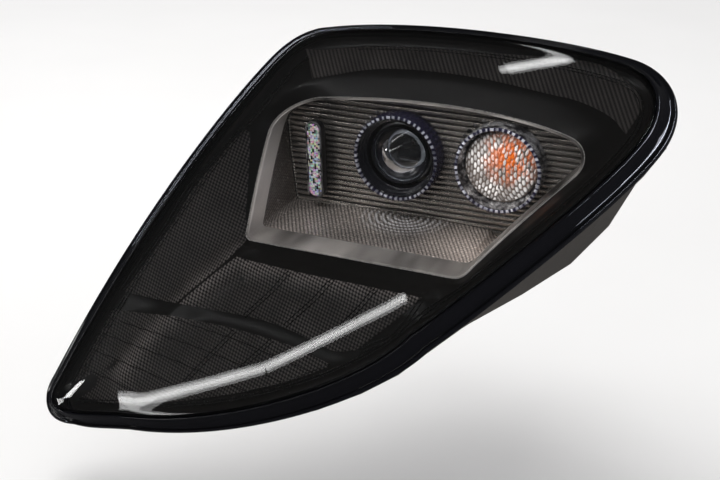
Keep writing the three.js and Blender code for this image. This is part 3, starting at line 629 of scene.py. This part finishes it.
def mask_depth(u, v):
    off_u, off_v = u - WINDOW_MIDDLE[0], v - WINDOW_MIDDLE[1]
    angle, far = np.arctan2(off_v, off_u), np.hypot(off_u, off_v)
    border, hole = radius_at(MASK_BORDER, angle), radius_at(MASK_HOLE, angle)
    share = np.clip((border - far) / (border - hole), 0, 1)
    spread = np.minimum(0.06, np.minimum(share, 1 - share))
    depth = sum(np.interp(share + k * spread, *STATIONS) for k in (-1, -0.5, 0, 0.5, 1)) / 5
    away = smoothstep(share, 0.06, 0.22) * (1 - smoothstep(share, 0.9, 1.0))
    depth = depth - np.maximum(7.0 * crease(u, v, RIDGE, 14.0), 6.0 * crease(u, v, BROW_FOLD, 10.0)) * away
    step, side = segment_distance(u, v, LEDGE)
    below = smoothstep(-side * step, -5.0, 5.0) * (1 - smoothstep(v, 20, 60))
    return depth + 1.8 * away * below


def mask():
    angles = np.sort(np.concatenate([MASK_BORDER[0], MASK_HOLE[0]]))
    angles = angles[np.concatenate([[True], np.diff(angles) > 0.004])]
    shares = np.concatenate([np.linspace(0, 0.1, 7), np.linspace(0.125, 1, 58)])
    ray = np.stack([np.cos(angles), np.sin(angles)], 1)
    outer = WINDOW_MIDDLE + ray * radius_at(MASK_BORDER, angles)[:, None]
    inner = WINDOW_MIDDLE + ray * radius_at(MASK_HOLE, angles)[:, None]
    front, back = [], []
    for share in shares:
        q = outer + (inner - outer) * share
        depth = mask_depth(*q.T)
        front.append(face_point(*q.T, -depth))
        back.append(face_point(q[:, 0], q[:, 1] + 1.9 * share, -depth - 1.6))
    shape = hoop([*front, *back[::-1][::6], back[0]])
    make("mask", shape, MASK_BLACK, replaces="bezel", angle=50)


mask()


def curve_through(points, count):
    """A smooth open curve through the points."""
    p = np.asarray(points, float)
    padded = np.vstack([2 * p[0] - p[1], p, 2 * p[-1] - p[-2]])
    t = np.linspace(0, 1, 20, endpoint=False)[:, None]
    fine = []
    for a, b, c, d in zip(padded, padded[1:], padded[2:], padded[3:]):
        bend = (2 * a - 5 * b + 4 * c - d) * t ** 2 + (3 * b - a - 3 * c + d) * t ** 3
        fine.append(0.5 * (2 * b + (c - a) * t + bend))
    return spaced(np.vstack([*fine, p[-1:]]), count)


def leaning(u, v, degrees):
    """Coordinates along and across a direction."""
    c, s = math.cos(math.radians(degrees)), math.sin(math.radians(degrees))
    return u * c + v * s, v * c - u * s


def weave(u, v):
    """The woven grain of the mask's fields, from -1 to 1."""
    p, q = leaning(u, v, WEAVE_LEAN)
    across, along = 2 * math.pi * p / WEAVE_PITCH, 2 * math.pi * q / (WEAVE_PITCH * 1.25)
    return 2 * smoothstep(np.sin(across) * np.sin(along), -0.25, 0.45) - 1


def ribs(u, v):
    """The ribs of the brow field, with a slight swell along them."""
    p, q = leaning(u, v, RIB_LEAN)
    return np.sin(2 * math.pi * p / RIB_PITCH) * (0.75 + 0.25 * np.sin(2 * math.pi * q / (RIB_PITCH * 0.8)))


WEAVE_PITCH, WEAVE_LEAN, WEAVE_HEIGHT = 3.7, 35, 0.22
RIB_PITCH, RIB_LEAN, RIB_HEIGHT = 3.4, 28, 0.3
FIELD_STEP, FIELD_LIFT, BEAD_LIFT = 0.6, 0.7, 0.8
FIELD_SHADE = 0.28    # painted brightness of the weave away from the painted crease highlights


def field(name, upper, lower, relief=weave, height=WEAVE_HEIGHT):
    """A raised textured field of the mask, between two curves in the face plane."""
    high, low = np.array(upper, float), np.array(lower, float)
    reach = max(np.ptp(high, axis=0).max(), np.ptp(low, axis=0).max())
    span = np.linalg.norm(high[[0, -1]] - low[[0, -1]], axis=1).max()
    cols, rows = int(reach / FIELD_STEP), max(24, int(span / FIELD_STEP))
    t = np.linspace(0, 1, rows)[:, None, None]
    q = curve_through(upper, cols)[None] * (1 - t) + curve_through(lower, cols)[None] * t
    u, v = q[..., 0], q[..., 1]
    depth, pattern = mask_depth(u, v), relief(u, v)
    i, j = np.indices((rows, cols))
    edge = (i == 0) | (j == 0) | (i == rows - 1) | (j == cols - 1)
    surface_h = np.where(edge, -depth - 0.5, -depth + FIELD_LIFT + height * pattern)
    # Painted light and shade: the weave's hollows are painted dark, and bands along the ridge and the brow
    # fold are painted bright.
    lit = np.maximum(crease(u, v, RIDGE, 12.0), crease(u, v, BROW_FOLD, 9.0))
    crest = np.clip(0.5 + 0.5 * pattern, 0, 1) * (FIELD_SHADE + (1 - FIELD_SHADE) * lit)
    make(name, slab(face_point(u, v, surface_h), face_point(u, v, -depth - 0.9)), MASK_FIELD,
         relief=np.stack([crest, 0 * crest]))


LEFT_SEAM = [(-141, 76), (-158, 45), (-175, 12), (-191, -29), (-219, -88)]
field("mask_field_flank", LEFT_SEAM, [(-136, 74), (-130, 45), (-122, 5), (-116, -34), (-160, -90)])
field("mask_field_middle", [(-114, -40), (-43, -44), (3, -45), (62, -47)],
      [(-158, -90), (-124, -89), (-83, -89), (-44, -94), (-7, -103), (16, -99)])
field("mask_field_tip", [(-226, -104), (-163, -101), (-121, -100), (-80, -102), (-41, -106), (-5, -114)],
      [(-261, -186), (-218, -187), (-170, -180), (-119, -166), (-75, -151), (-41, -137), (-6, -117)])
field("mask_field_brow", [(-104, 158), (-35, 169), (26, 173), (84, 176), (140, 178), (168, 174), (192, 160),
                          (198, 144)],
      [(-92, 132), (-42, 146), (1, 151), (61, 151), (119, 146), (148, 143), (174, 134), (190, 120)],
      ribs, RIB_HEIGHT)


def bead(path, width, height):
    """A low rounded bead that follows the mask along a path in the face plane."""
    p = evenly(np.asarray(path, float), 2.0, closed=False)
    across = sideways(np.gradient(p, axis=0))
    section = ((-0.5, -0.6), (-0.5, 0.1), (-0.25, 0.8), (0, 1), (0.25, 0.8), (0.5, 0.1), (0.5, -0.6))
    rows = []
    for offset, lift in section:
        q = p + across * width * offset
        depth = mask_depth(*q.T)
        rows.append(face_point(*q.T, -depth + BEAD_LIFT + height * lift))
    first = [k * len(p) for k in range(len(rows))]
    ends = [tuple(first[::-1]), tuple(k + len(p) - 1 for k in first)]
    return np.array(rows).reshape(-1, 3), grid_faces(len(rows), len(p), True) + ends


def mask_seams():
    grooves = [
        [(-170, -102), (-95, -110), (-18, -124)], [(-219, -114), (-130, -123), (-41, -137)],
        [(-233, -128), (-150, -138), (-72, -151)], [(-239, -144), (-175, -153), (-112, -165)],
        [(-246, -162), (-208, -167), (-171, -176)],
    ]
    parts = [bead(path, 0.8, 0.3) for path in grooves]
    diagonals = [
        [(-61, -46), (-93, -89)], [(-100, -103), (-138, -156)], [(-19, -45), (-53, -91)],
        [(-62, -104), (-86, -134)], [(21, -46), (-14, -99)], [(62, -49), (44, -82), (18, -99)],
    ]
    for path in diagonals:
        path = np.array(path, float)
        parts += [bead(path + sideways(path[-1:] - path[:1]) * s, 0.9, 0.35) for s in (-1.7, 1.7)]
    parts += [bead(curve_through(LEFT_SEAM, 40) + np.array([-s, 0]), 0.9, 0.35) for s in (1.0, 3.6)]
    borders = [(-226, -104), (-262, -186)], [(-5, -114), (-41, -137), (-75, -151)]
    parts += [bead(path, 1.0, 0.4) for path in borders]
    make("mask_seams", joined(parts), SEAM_BLACK)


def mask_lines():
    """Two fine steps that run round the mask inside the lens edge."""
    parts = [bead((EDGE - EDGE_OUT * inset)[6:-5], 0.9, 0.4) for inset in (11.5, 14.0)]
    make("mask_lines", joined(parts), SEAM_BLACK)


mask_seams()
mask_lines()

# ---- bright frame, knurled tray, fluted panel ----
def pushed_back(ring, distance, limit):
    moved = ring.copy()
    moved[:, 1] = np.minimum(moved[:, 1] + distance, limit)
    return moved


def window_trim():
    front = WINDOW_DEPTH - 0.5
    rounding = [(-0.3, 0.5), (-0.5, 0.1), (-1.0, 0.0), (-1.6, 0.0), (-2.1, 0.15), (-2.4, 0.6)]
    rings = [window_ring(out, front + deep) for out, deep in rounding]
    inner = [pushed_back(rings[-1], step, TRIM_END) for step in (3, 8, 14, 20, TRIM_DEPTH)]
    outer = pushed_back(rings[0], TRIM_DEPTH, TRIM_END)
    make("window_frame", hoop([*rings, *inner, outer]), TRIM_CHROME, replaces="window_trim",
         angle=50)
    lip = [(0.42, -0.3), (0.42, 0.6), (-0.25, 0.6), (-0.25, 0.2), (-0.1, -0.3)]
    shape = hoop([window_ring(out, front + deep) for out, deep in lip])
    make("window_lip", shape, TRIM_LIP, angle=50)


def flared(ring, normals):
    """The ring pushed out by up to 9 mm at its lower right."""
    reach = 9 * smoothstep((normals[:, 0] - normals[:, 1]) * math.sqrt(0.5), 0.8, 1)
    return ring + at_depth(normals * reach[:, None], 0)


KNURL_ROUND, KNURL_DEEP = 3.7, 7.0    # spacing of the knurl round the window and front to back
KNURL_STEP, KNURL_HEIGHT, KNURL_ROWS = 0.62, 0.4, 80
TRAY_WALL = 1.8


def reflector_tray():
    points = evenly(WINDOW, KNURL_STEP)
    normals = outward_normals(points, -1)
    length = np.arange(len(points)) * KNURL_STEP
    mouth = window_ring(-2.2, WINDOW_DEPTH, points, normals)
    start = pushed_back(mouth, TRIM_DEPTH + 1, TRIM_END + 1)
    end = flared(mouth, normals)
    end[:, 1] = TRAY_END
    inward = -at_depth(normals, 0)
    rings, painted_crest_light = [], []
    for t in np.arange(KNURL_ROWS + 1) / KNURL_ROWS:
        ring = start * (1 - t) + end * t
        across, back = math.pi * length / KNURL_ROUND, math.pi * ring[:, 1] / KNURL_DEEP
        knurl = np.abs(np.sin(across + back)) * (0.55 + 0.45 * np.abs(np.sin(across - back)))
        rings.append(ring + inward * (KNURL_HEIGHT * knurl)[:, None])
        # the knurl's height also sets where the tray's painted light and shade fall
        painted_crest_light.append(knurl)
    shape = hoop([*rings, end - inward * TRAY_WALL, start - inward * TRAY_WALL])
    make("knurled_tray", shape, TRAY_CHROME, replaces="reflector_tray",
         relief=[*painted_crest_light, 0 * length, 0 * length])


def ball(centre, radius, squash=1.0):
    """A small round, flattened front to back when squash is under 1."""
    x, y, z = centre
    rings = [ring_at((x, z), radius * math.sin(a), full_turn(10), y - radius * squash * math.cos(a))
             for a in np.linspace(0, math.pi, 7)[1:-1]]
    return skin(rings, *(at_depth(np.array([[x, z]]), y + k * radius * squash) for k in (-1, 1)))


def drill(target, name, points, faces):
    """Cuts a form out of a piece."""
    tool = solid(name, points, faces)
    modifier = target.modifiers.new(name, "BOOLEAN")
    modifier.operation, modifier.solver, modifier.object = "DIFFERENCE", "EXACT", tool
    graph = bpy.context.evaluated_depsgraph_get()
    result = bpy.data.meshes.new_from_object(target.evaluated_get(graph))
    target.modifiers.remove(modifier)
    target.data = result
    bpy.data.objects.remove(tool)


def panel_outline():
    ring = flared(window_ring(-0.3, WINDOW_DEPTH), WINDOW_OUT)
    return ring[:, [0, 2]]


def crossings(loop, z):
    a, b = loop, np.roll(loop, -1, 0)
    hit = (a[:, 1] <= z) != (b[:, 1] <= z)
    t = (z - a[hit, 1]) / (b[hit, 1] - a[hit, 1])
    xs = a[hit, 0] + t * (b[hit, 0] - a[hit, 0])
    return xs.min(), xs.max()


def stadium_loop(width, height, sides=24):
    """The outline of the light strip: straight sides and round ends, leaning a little."""
    straight, r = height / 2 - width / 2, width / 2
    x, z = circle((0, straight), r, np.linspace(0, math.pi, sides)).T
    along, up = leaning(np.append(x, -x), np.append(z, -z), DRL_LEAN)
    return np.stack([DRL[0] + along, DRL[1] + up], 1)


def prism(loop, y0, y1):
    n = len(loop)
    faces = grid_faces(2, n, False, True) + [tuple(range(n)), tuple(range(2 * n - 1, n - 1, -1))]
    return np.vstack([at_depth(loop, y0), at_depth(loop, y1)]), faces


DRL, DRL_LEAN = (-86.5, 10.5), -1.6
FLUTE_BULGE, FLUTE_STEPS, PANEL_WALL = 1.3, 10, 2.9


def reflector_panel():
    loop = panel_outline()
    bottom, top = loop[:, 1].min() + 0.4, loop[:, 1].max() - 0.4
    front, back = [], []
    for z in np.arange(bottom, top, FLUTE_PITCH / FLUTE_STEPS):
        phase = ((z - FLOOR_Z) / FLUTE_PITCH) % 1.0
        bulge = FLUTE_BULGE * math.sqrt(max(0.0, 1 - (2 * phase - 1) ** 2))
        row = np.stack([np.linspace(*crossings(loop, z), 4), np.full(4, z)], 1)
        front.append(at_depth(row, PANEL_Y - bulge))
        back.append(at_depth(row, PANEL_Y + PANEL_WALL))
    panel = make("fluted_panel", slab(front, back), DARK_CHROME, replaces="reflector_panel",
                 angle=60)
    angles = full_turn(72)
    holes = (circle(PROJECTOR, 36.2, angles), circle(INDICATOR, 34.2, angles), stadium_loop(7, 60))
    for name, hole in zip("abc", holes):
        drill(panel, name, *prism(hole, 100, 125))


def panel_beads():
    """The row of small beads that edges the panel along its inner side and foot."""
    centre = np.array([20.0, 24.0])
    parts = []
    for x, z in evenly(panel_outline(), 2.9):
        if (z < -22 and x < 90) or x < -100:
            toward = (centre - (x, z)) / np.linalg.norm(centre - (x, z))
            parts.append(ball((x + toward[0] * 3.4, PANEL_Y - 1.5, z + toward[1] * 3.4), 1.0))
    make("panel_beads", joined(parts), BEAD_CHROME)


def flute_ends():
    """Polished ends of the flutes, beside the two round lamps."""
    parts = []
    for centre, radius in ((PROJECTOR, 42.0), (INDICATOR, 41.6)):
        middle_flute = round((centre[1] - FLOOR_Z) / FLUTE_PITCH)
        for k in range(-7, 8):
            z = FLOOR_Z + (middle_flute + k + 0.5) * FLUTE_PITCH
            off = z - centre[1]
            if abs(off) < radius * 0.92:
                x = centre[0] - math.sqrt(radius ** 2 - off ** 2)
                parts.append(ball((x, PANEL_Y - 2.0, z), 1.7, 0.9))
    make("flute_ends", joined(parts), BOWL_CHROME, smooth=False)


window_trim()
reflector_tray()
reflector_panel()
panel_beads()
flute_ends()

# ---- round lamps ----
def painted_cell_glint(col, row):
    """Painted glint: how bright a prism's painted highlight is, from 0.25 to 1, varying from cell to cell."""
    return 0.25 + 0.75 * np.mod(np.sin(col * 12.9 + row * 78.2) * 43.7, 1.0)


def castle_ring(name, centre, inner, outer, front, back, tooth, replaces=None):
    """A clear ring whose front edge is cut into teeth."""
    teeth = 48
    angles = full_turn(teeth * 6)
    step = (np.sin(angles * teeth) > 0) * tooth
    shine = painted_cell_glint(np.floor(angles * teeth / (2 * math.pi)), 3)
    # radius, depth, and how much of a tooth's height is cut away there
    profile = ((inner, front + 0.6, 0), (inner + 0.5, front, 0), (outer - 0.7, front, 0.6),
               (outer, front + 0.9, 1), (outer, min(back, front + 2.6), 1), (outer, back, 1),
               (inner, back, 0))
    rings = [ring_at(centre, r - step * share, angles, y + step * share * 0.5) for r, y, share in profile]
    # painted highlight on the front of each tooth, brighter on some teeth than others
    painted_crest_light = [step / tooth * (y < front + 1) * shine for _, y, _ in profile]
    make(name, hoop(rings), RING_GLASS, replaces=replaces, angle=30, relief=painted_crest_light)


def projector_front():
    castle_ring("lit_ring", PROJECTOR, 36.4, 39.5, 94.2, PANEL_Y - 1.8, 0.8, "clear_ring")
    shroud = [(34.2, 96.2), (34.8, 95.9), (35.6, 96.1), (35.8, 97), (35.8, 120.8), (31.4, 120.8),
              (31.4, 106.4), (32.0, 106.1), (32.6, 106.0), (32.9, 105.2), (32.9, 101.4), (33.3, 101.1),
              (34.0, 101.0), (34.2, 100.4)]
    make("lamp_shroud", turned(shroud, PROJECTOR, 96), SHROUD_BLACK,
         replaces="projector_shroud", angle=40)
    retainer = [(25.05, 106.3), (25.3, 105.95), (26.6, 105.9), (27.1, 106.4), (27.1, 112.9), (25.4, 112.9),
                (25.4, 108.4), (25.05, 107.6)]
    make("lens_collar", turned(retainer, PROJECTOR, 96), SHROUD_BLACK, "projector",
         replaces="lens_retainer", angle=40)
    radius = 30.0
    dome = [(r, LENS_FRONT_Y + radius - math.sqrt(radius ** 2 - r ** 2)) for r in np.linspace(0, 24.7, 19)]
    back_y = (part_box("projector_lens")[1][1] - ORIGIN[1]) / MM
    flange = [(24.9, dome[-1][1] + 1.2), (24.9, back_y - 1.0), (24.2, back_y), (12, back_y), (0, back_y)]
    make("condenser", turned(dome + flange, PROJECTOR, 96), COATED_GLASS, "projector",
         replaces="projector_lens", angle=50)


FACETS, FACET_DEPTH = 30, 0.55


def turn_signal():
    angles = full_turn(120)
    outside = [(37.5, 95.2), (38.2, 95), (38.9, 95.4), (38.9, PANEL_Y - 1.8), (34.0, PANEL_Y - 1.8),
               (34.0, PANEL_Y + 1), (27.1, 132), (15.6, 143.9), (12.7, 143.9), (12.7, 142)]
    inside = [(18, 136.2), (23, 130), (27, 122), (31, 114), (33.2, 107), (35.4, 100), (36.6, 97)]
    # facets inside the bowl catch the light as short dashes
    facets = FACET_DEPTH * np.cos(angles * FACETS) - FACET_DEPTH
    rings = [ring_at(INDICATOR, r, angles, y) for r, y in outside]
    rings += [ring_at(INDICATOR, r + facets, angles, y) for r, y in inside]
    make("signal_bowl", hoop(rings), BOWL_CHROME, replaces="turn_bowl", angle=25)
    castle_ring("signal_edge", INDICATOR, 35.6, 38.8, 93.9, 94.9, 0.7)


PRISM_WIDE, PRISM_HIGH, PRISM_RELIEF = 3.3, 6.8, 0.9


def signal_lens():
    """The clear inner lens: a shallow dome whose front is cut into small prisms."""
    angles = full_turn(280)
    dome_r, dome_y = [0, 14, 25, 32.4], [97.9, 99.0, 102.0, 106.0]
    back_y = [100.3, 101.4, 104.2, 107.6]
    front, painted_crest_light = [], []
    for r in np.linspace(0, 32.2, 76)[1:]:
        x, z = r * np.cos(angles), r * np.sin(angles)
        column = (x - 0.006 * z ** 2 * np.sign(x)) / PRISM_WIDE
        row = z / PRISM_HIGH + np.floor(column) * 0.5
        crest = np.sin(math.pi * (column % 1.0)) * (1 - np.abs(2 * (row % 1.0) - 1))
        crest = smoothstep(crest, 0.04, 0.5) * (1 - smoothstep(r, 30.8, 31.6))
        y = np.interp(r, dome_r, dome_y) + 0.6 - PRISM_RELIEF * crest
        front.append(ring_at(INDICATOR, r, angles, y))
        # painted highlight on each prism's crest
        painted_crest_light.append(crest * painted_cell_glint(np.floor(column), np.floor(row)))
    back = [ring_at(INDICATOR, r, angles, np.interp(r, dome_r, back_y)) for r in (31.2, 24.0, 13.6, 5.0)]
    shape = skin([*front, *back], *(at_depth(np.array([INDICATOR]), y) for y in (98.4, 100.3)))
    relief = np.zeros(len(shape[0]))
    relief[:np.size(painted_crest_light)] = np.ravel(painted_crest_light)
    make("signal_lens", shape, PRISM_GLASS, replaces="turn_inner_lens", angle=20, relief=relief)


def smooth_bulb():
    glass = [(0, 114.2), (3.4, 114.6), (6.5, 116.2), (8.6, 118.8), (9.3, 121.5), (9.1, 124.6), (8.3, 127.6),
             (6.6, 130.8), (5.5, 133), (5.4, 140.9), (0, 140.9)]
    make("amber_bulb", turned(glass, INDICATOR, 48), AMBER_GLASS, "holder",
         replaces="turn_bulb", angle=50)


projector_front()
turn_signal()
signal_lens()
smooth_bulb()


# ---- daytime light strip ----
def light_strip():
    front, back = 97.2, 102.3
    inner, outer = stadium_loop(10.8, 68.2), stadium_loop(12.2, 69.6)
    rings = [at_depth(inner, front), at_depth(outer, front + 0.7), at_depth(outer, back)]
    tips = (at_depth(np.array([DRL]), y) for y in (front, back))
    make("strip_guide", skin(rings, *tips), LIGHT_GUIDE, replaces="drl_light_guide", angle=30)
    section = ((12.7, 70.1, 97.3), (13.2, 70.6, 96.9), (14.6, 72.6, 96.9), (15.3, 73.4, 97.6),
               (15.3, 73.4, 98.3), (12.7, 70.1, 98.3))
    make("strip_edge", hoop([at_depth(stadium_loop(w, h), y) for w, h, y in section]), BOWL_CHROME,
         angle=30)


light_strip()

# ---- back of the housing ----
BACK_Y = 232.0
CAP, CAP_RADIUS = (-7.0, 33.0), 44.0


def block(xs, ys, zs):
    return prism(np.array([(xs[0], zs[0]), (xs[1], zs[0]), (xs[1], zs[1]), (xs[0], zs[1])]), *ys)


def housing_ribs():
    """Stiffening ribs on the lamp house, clear of the brackets and of the bulb holder."""
    def thin(at):
        return at - 0.8, at + 0.8

    tall = 2.2
    on_back = (BACK_Y - 0.5, BACK_Y + tall)
    parts = [block((-76 - tall, -75.5), (152, 230), thin(z)) for z in (52, 66, -30)]
    parts += [block((67, 67.5 + tall), (197, 230), thin(z)) for z in (-24, -6, 9, 52, 68)]
    parts += [block(thin(x), (152, 175), (87.5, 88 + tall)) for x in range(-56, 57, 14)]
    parts += [block(thin(x), on_back, (78, 85)) for x in range(-28, 29, 14)]
    parts += [block((40, 64), on_back, thin(z)) for z in (-40, -30, -20)]
    make("housing_ribs", joined(parts), SHELL_GREY, smooth=False)


def cap_grips():
    """Small ribs round the edge of the service cap."""
    low, high, half = CAP_RADIUS - 0.5, CAP_RADIUS + 0.9, 0.7
    parts = []
    for a in full_turn(48):
        out, side = np.array([math.cos(a), math.sin(a)]), np.array([-math.sin(a), math.cos(a)]) * half
        loop = np.array([out * low - side, out * high - side, out * high + side, out * low + side]) + CAP
        parts.append(prism(loop, BACK_Y + 4, BACK_Y + 12.5))
    make("cap_grips", joined(parts), BLACK_PLASTIC, "service_cap", smooth=False)


housing_ribs()
cap_grips()


# ---- floor, light, camera ----
FLOOR_HALF, FLOOR_DROP = 9.0, 0.06
LOW, HIGH = (Vector(corner) for corner in CAD_BOUNDS)
MIDDLE = (LOW + HIGH) / 2
NEAR, FAR = 3.0, 8.0


def floor():
    """A pale floor under the hanging lamp. Mirrors and glass see it nearly dark."""
    z, s = LOW[2] - FLOOR_DROP, FLOOR_HALF
    mesh = bpy.data.meshes.new("floor")
    mesh.from_pydata([(-s, -s, z), (s, -s, z), (s, s, z), (-s, s, z)], [], [(0, 1, 2, 3)])
    obj = placed("floor", mesh)
    mat, tree, shader = material("floor")
    path = node(tree, "ShaderNodeLightPath").outputs
    fine = noise(tree, object_coords(tree), 3.0)
    pale = mixed(tree, fine, (0.84, 0.83, 0.815), (0.88, 0.87, 0.855))
    mirrored = maths(tree, "MAXIMUM", path["Is Glossy Ray"], path["Is Transmission Ray"])
    colour = mixed(tree, mirrored, pale, (0.035, 0.035, 0.037))
    fill(tree, shader, {"Base Color": colour, "Roughness": 0.8, "Specular IOR Level": 0.0})
    obj.data.materials.append(mat)


def world():
    made = bpy.data.worlds.new("studio")
    bpy.context.scene.world = made
    made.use_nodes = True
    tree = made.node_tree
    path = node(tree, "ShaderNodeLightPath").outputs
    # how bright the studio looks to each kind of ray; mirrored rays see it nearly dark
    strength = 0.03
    for ray, level in (("Is Transmission Ray", 0.06), ("Is Diffuse Ray", 0.43), ("Is Camera Ray", 1.0)):
        ports = {0: path[ray], 2: strength, 3: level}
        strength = node(tree, "ShaderNodeMix", ports, data_type="FLOAT").outputs[0]
    fill(tree, tree.nodes["Background"], {"Color": (1, 1, 1), "Strength": strength})


def softbox(name, centre, size, watts, turn=(1, 0, 0), colour=(1, 1, 1), only=()):
    """A soft light that faces the lamp; with only, it shines on those pieces alone."""
    data = bpy.data.lights.new(name, "AREA")
    data.shape = "RECTANGLE"
    data.size, data.size_y = size
    data.energy = watts
    data.color = colour
    obj = placed(name, data)
    obj.visible_camera = False
    obj.location = centre
    facing = (MIDDLE - centre).normalized()
    across = Vector(turn)
    side = (across - facing * across.dot(facing)).normalized()
    rotation = obj.rotation_euler.to_matrix()
    rotation.col[0], rotation.col[1], rotation.col[2] = side, side.cross(facing), -facing
    obj.rotation_euler = rotation.to_euler()
    if only:
        lit = bpy.data.collections.new(name + "_lit")
        for piece_name in only:
            lit.objects.link(bpy.data.objects[piece_name])
        obj.light_linking.receiver_collection = lit
    return obj


def direction(azimuth, elevation):
    """From the lamp: azimuth 0 is straight ahead of it, positive to +X."""
    a, e = math.radians(azimuth), math.radians(elevation)
    return Vector((math.sin(a) * math.cos(e), -math.cos(a) * math.cos(e), math.sin(e)))


BEHIND = ("housing", "housing_ribs", "cap_grips", "rear_cap", "cap_seal", "levelling_motor", "motor_gasket",
          "connector_socket", "vent_cap", "lateral_nut", "lateral_screw", "turn_bulb_holder",
          "turn_holder_seal", "upper_bracket", "lower_bracket", "inner_bracket", "ballast_case",
          "ballast_cover")
TRIM = ("window_frame", "window_lip")
BRIGHT = ("knurled_tray", "fluted_panel", "flute_ends", "panel_beads", "signal_bowl", "strip_edge",
          "strip_guide")
OPTICS = ("condenser", "lit_ring", "lamp_shroud", "lens_collar", "signal_lens", "signal_edge",
          "signal_bowl", "flute_ends", "panel_beads", "strip_edge", "amber_bulb")
SIGNAL = ("signal_lens", "signal_bowl", "signal_edge")
WHITE, WARM, COOL, BLUISH = (1, 1, 1), (1.0, 0.97, 0.94), (0.88, 0.9, 1.0), (0.85, 0.87, 1.0)
HAZY, VIOLET, RIM_BLUE = (0.5, 0.5, 1.0), (0.42, 0.4, 1.0), (0.8, 0.86, 1.0)


def reflected_boxes():
    """The lights whose reflections the lens shows."""
    # the long box bows, so it is three boxes end to end
    turns = ((-46.5, -1.2), (-24.5, 11.6), (-9.3, 23.4), (0.5, 28.9))
    corners = [direction(*angles) * FAR for angles in turns]
    for k, (start, end) in enumerate(zip(corners, corners[1:])):
        along = end - start
        at, length = MIDDLE + (start + end) / 2, along.length
        watts = 10.5 * length
        softbox("long_core_%d" % k, at, (length, 0.16), watts * 0.2, along)
        softbox("long_edge_%d" % k, at * 1.01, (length, 0.36), watts * 0.36, along)
    top, lean = Vector((-0.062, 0.03, 0.99)) * FAR, (0.2, 0.125, 0)
    softbox("top_box", MIDDLE + top, (1.35, 0.2), 4.4, lean)
    softbox("top_haze", MIDDLE + top * 1.01, (1.1, 0.34), 3.4, lean)


def lights():
    reflected_boxes()
    for name, offset, size, watts in (("roof_box", (-0.8, 0.3, 2.0), (1.4, 1.4), 22),
                                      ("sky_box", (-1.0, 1.5, 4.5), (8, 8), 122)):
        roof = softbox(name, MIDDLE + Vector(offset), size, watts)
        roof.visible_glossy = False
        roof.visible_transmission = False
    for name, azimuth, elevation, distance, size, watts, colour, only in (
        ("corner_box", -58.5, -1.2, 5, (0.42, 0.2), 2.2, WHITE, ()),
        ("left_wall", -125, 18, FAR, (5, 3.5), 130, COOL, ()),
        ("right_wall", 97, 12, FAR, (4, 3), 150, BLUISH, ()),
        ("rear_box", 165, 30, 5, (3, 3), 260, WHITE, BEHIND),
    ):
        softbox(name, MIDDLE + direction(azimuth, elevation) * distance, size, watts, (0, 0, 1), colour, only)
    for name, azimuth, elevation, size, watts, colour, only in (
        ("frame_box", -20, 62, (2.2, 1.0), 100, WHITE, BRIGHT),
        ("trim_box", 42, 24, (1.2, 1.0), 36, WHITE, TRIM),
        ("signal_box", -25, 30, (1.3, 1.3), 130, WARM, SIGNAL),
        ("sparkle_left", -60, 35, (0.5, 0.5), 60, WHITE, OPTICS),
        ("sparkle_right", 45, 40, (0.35, 0.5), 40, WHITE, OPTICS),
        ("sparkle_high", -10, 75, (1.4, 0.25), 50, WHITE, OPTICS),
        ("glow_right", 75, 10, (1.2, 1.2), 14, HAZY, OPTICS),
        ("dome_haze", 25, 48, (1.6, 0.9), 16, WHITE, ("condenser",)),
        ("dome_violet", 80, 5, (1.0, 1.6), 70, VIOLET, ("condenser",)),
        ("dome_square", -50, 44, (0.4, 0.4), 60, WHITE, ("condenser",)),
    ):
        softbox(name, MIDDLE + direction(azimuth, elevation) * NEAR, size, watts, colour=colour, only=only)
    # long narrow lights beside the lamp, along its flanks, draw the edges of the rim
    arch, bumper = (0.586, 0.498, 0.638), (0.397, 0.564, 0.723)
    flanks = ((98, 18, 15, arch), (70, -4, 10, arch), (-100, 40, 14, bumper))
    for k, (side, height, watts, flank) in enumerate(flanks):
        softbox("rim_line_%d" % k, MIDDLE + direction(side, height) * 2.2, (2.4, 0.05), watts, flank,
                RIM_BLUE, ("gloss_rim",))


floor()
world()
lights()

camera_data = bpy.data.cameras.new("camera")
camera_data.lens = 60.0
camera_data.sensor_width = 36.0
camera = placed("camera", camera_data)
camera.location = (0.33305, -1.02774, 0.27684)
camera.rotation_euler = (math.radians(66), 0.0, math.radians(23))
bpy.context.scene.camera = camera
bpy.context.scene.view_settings.view_transform = "Standard"
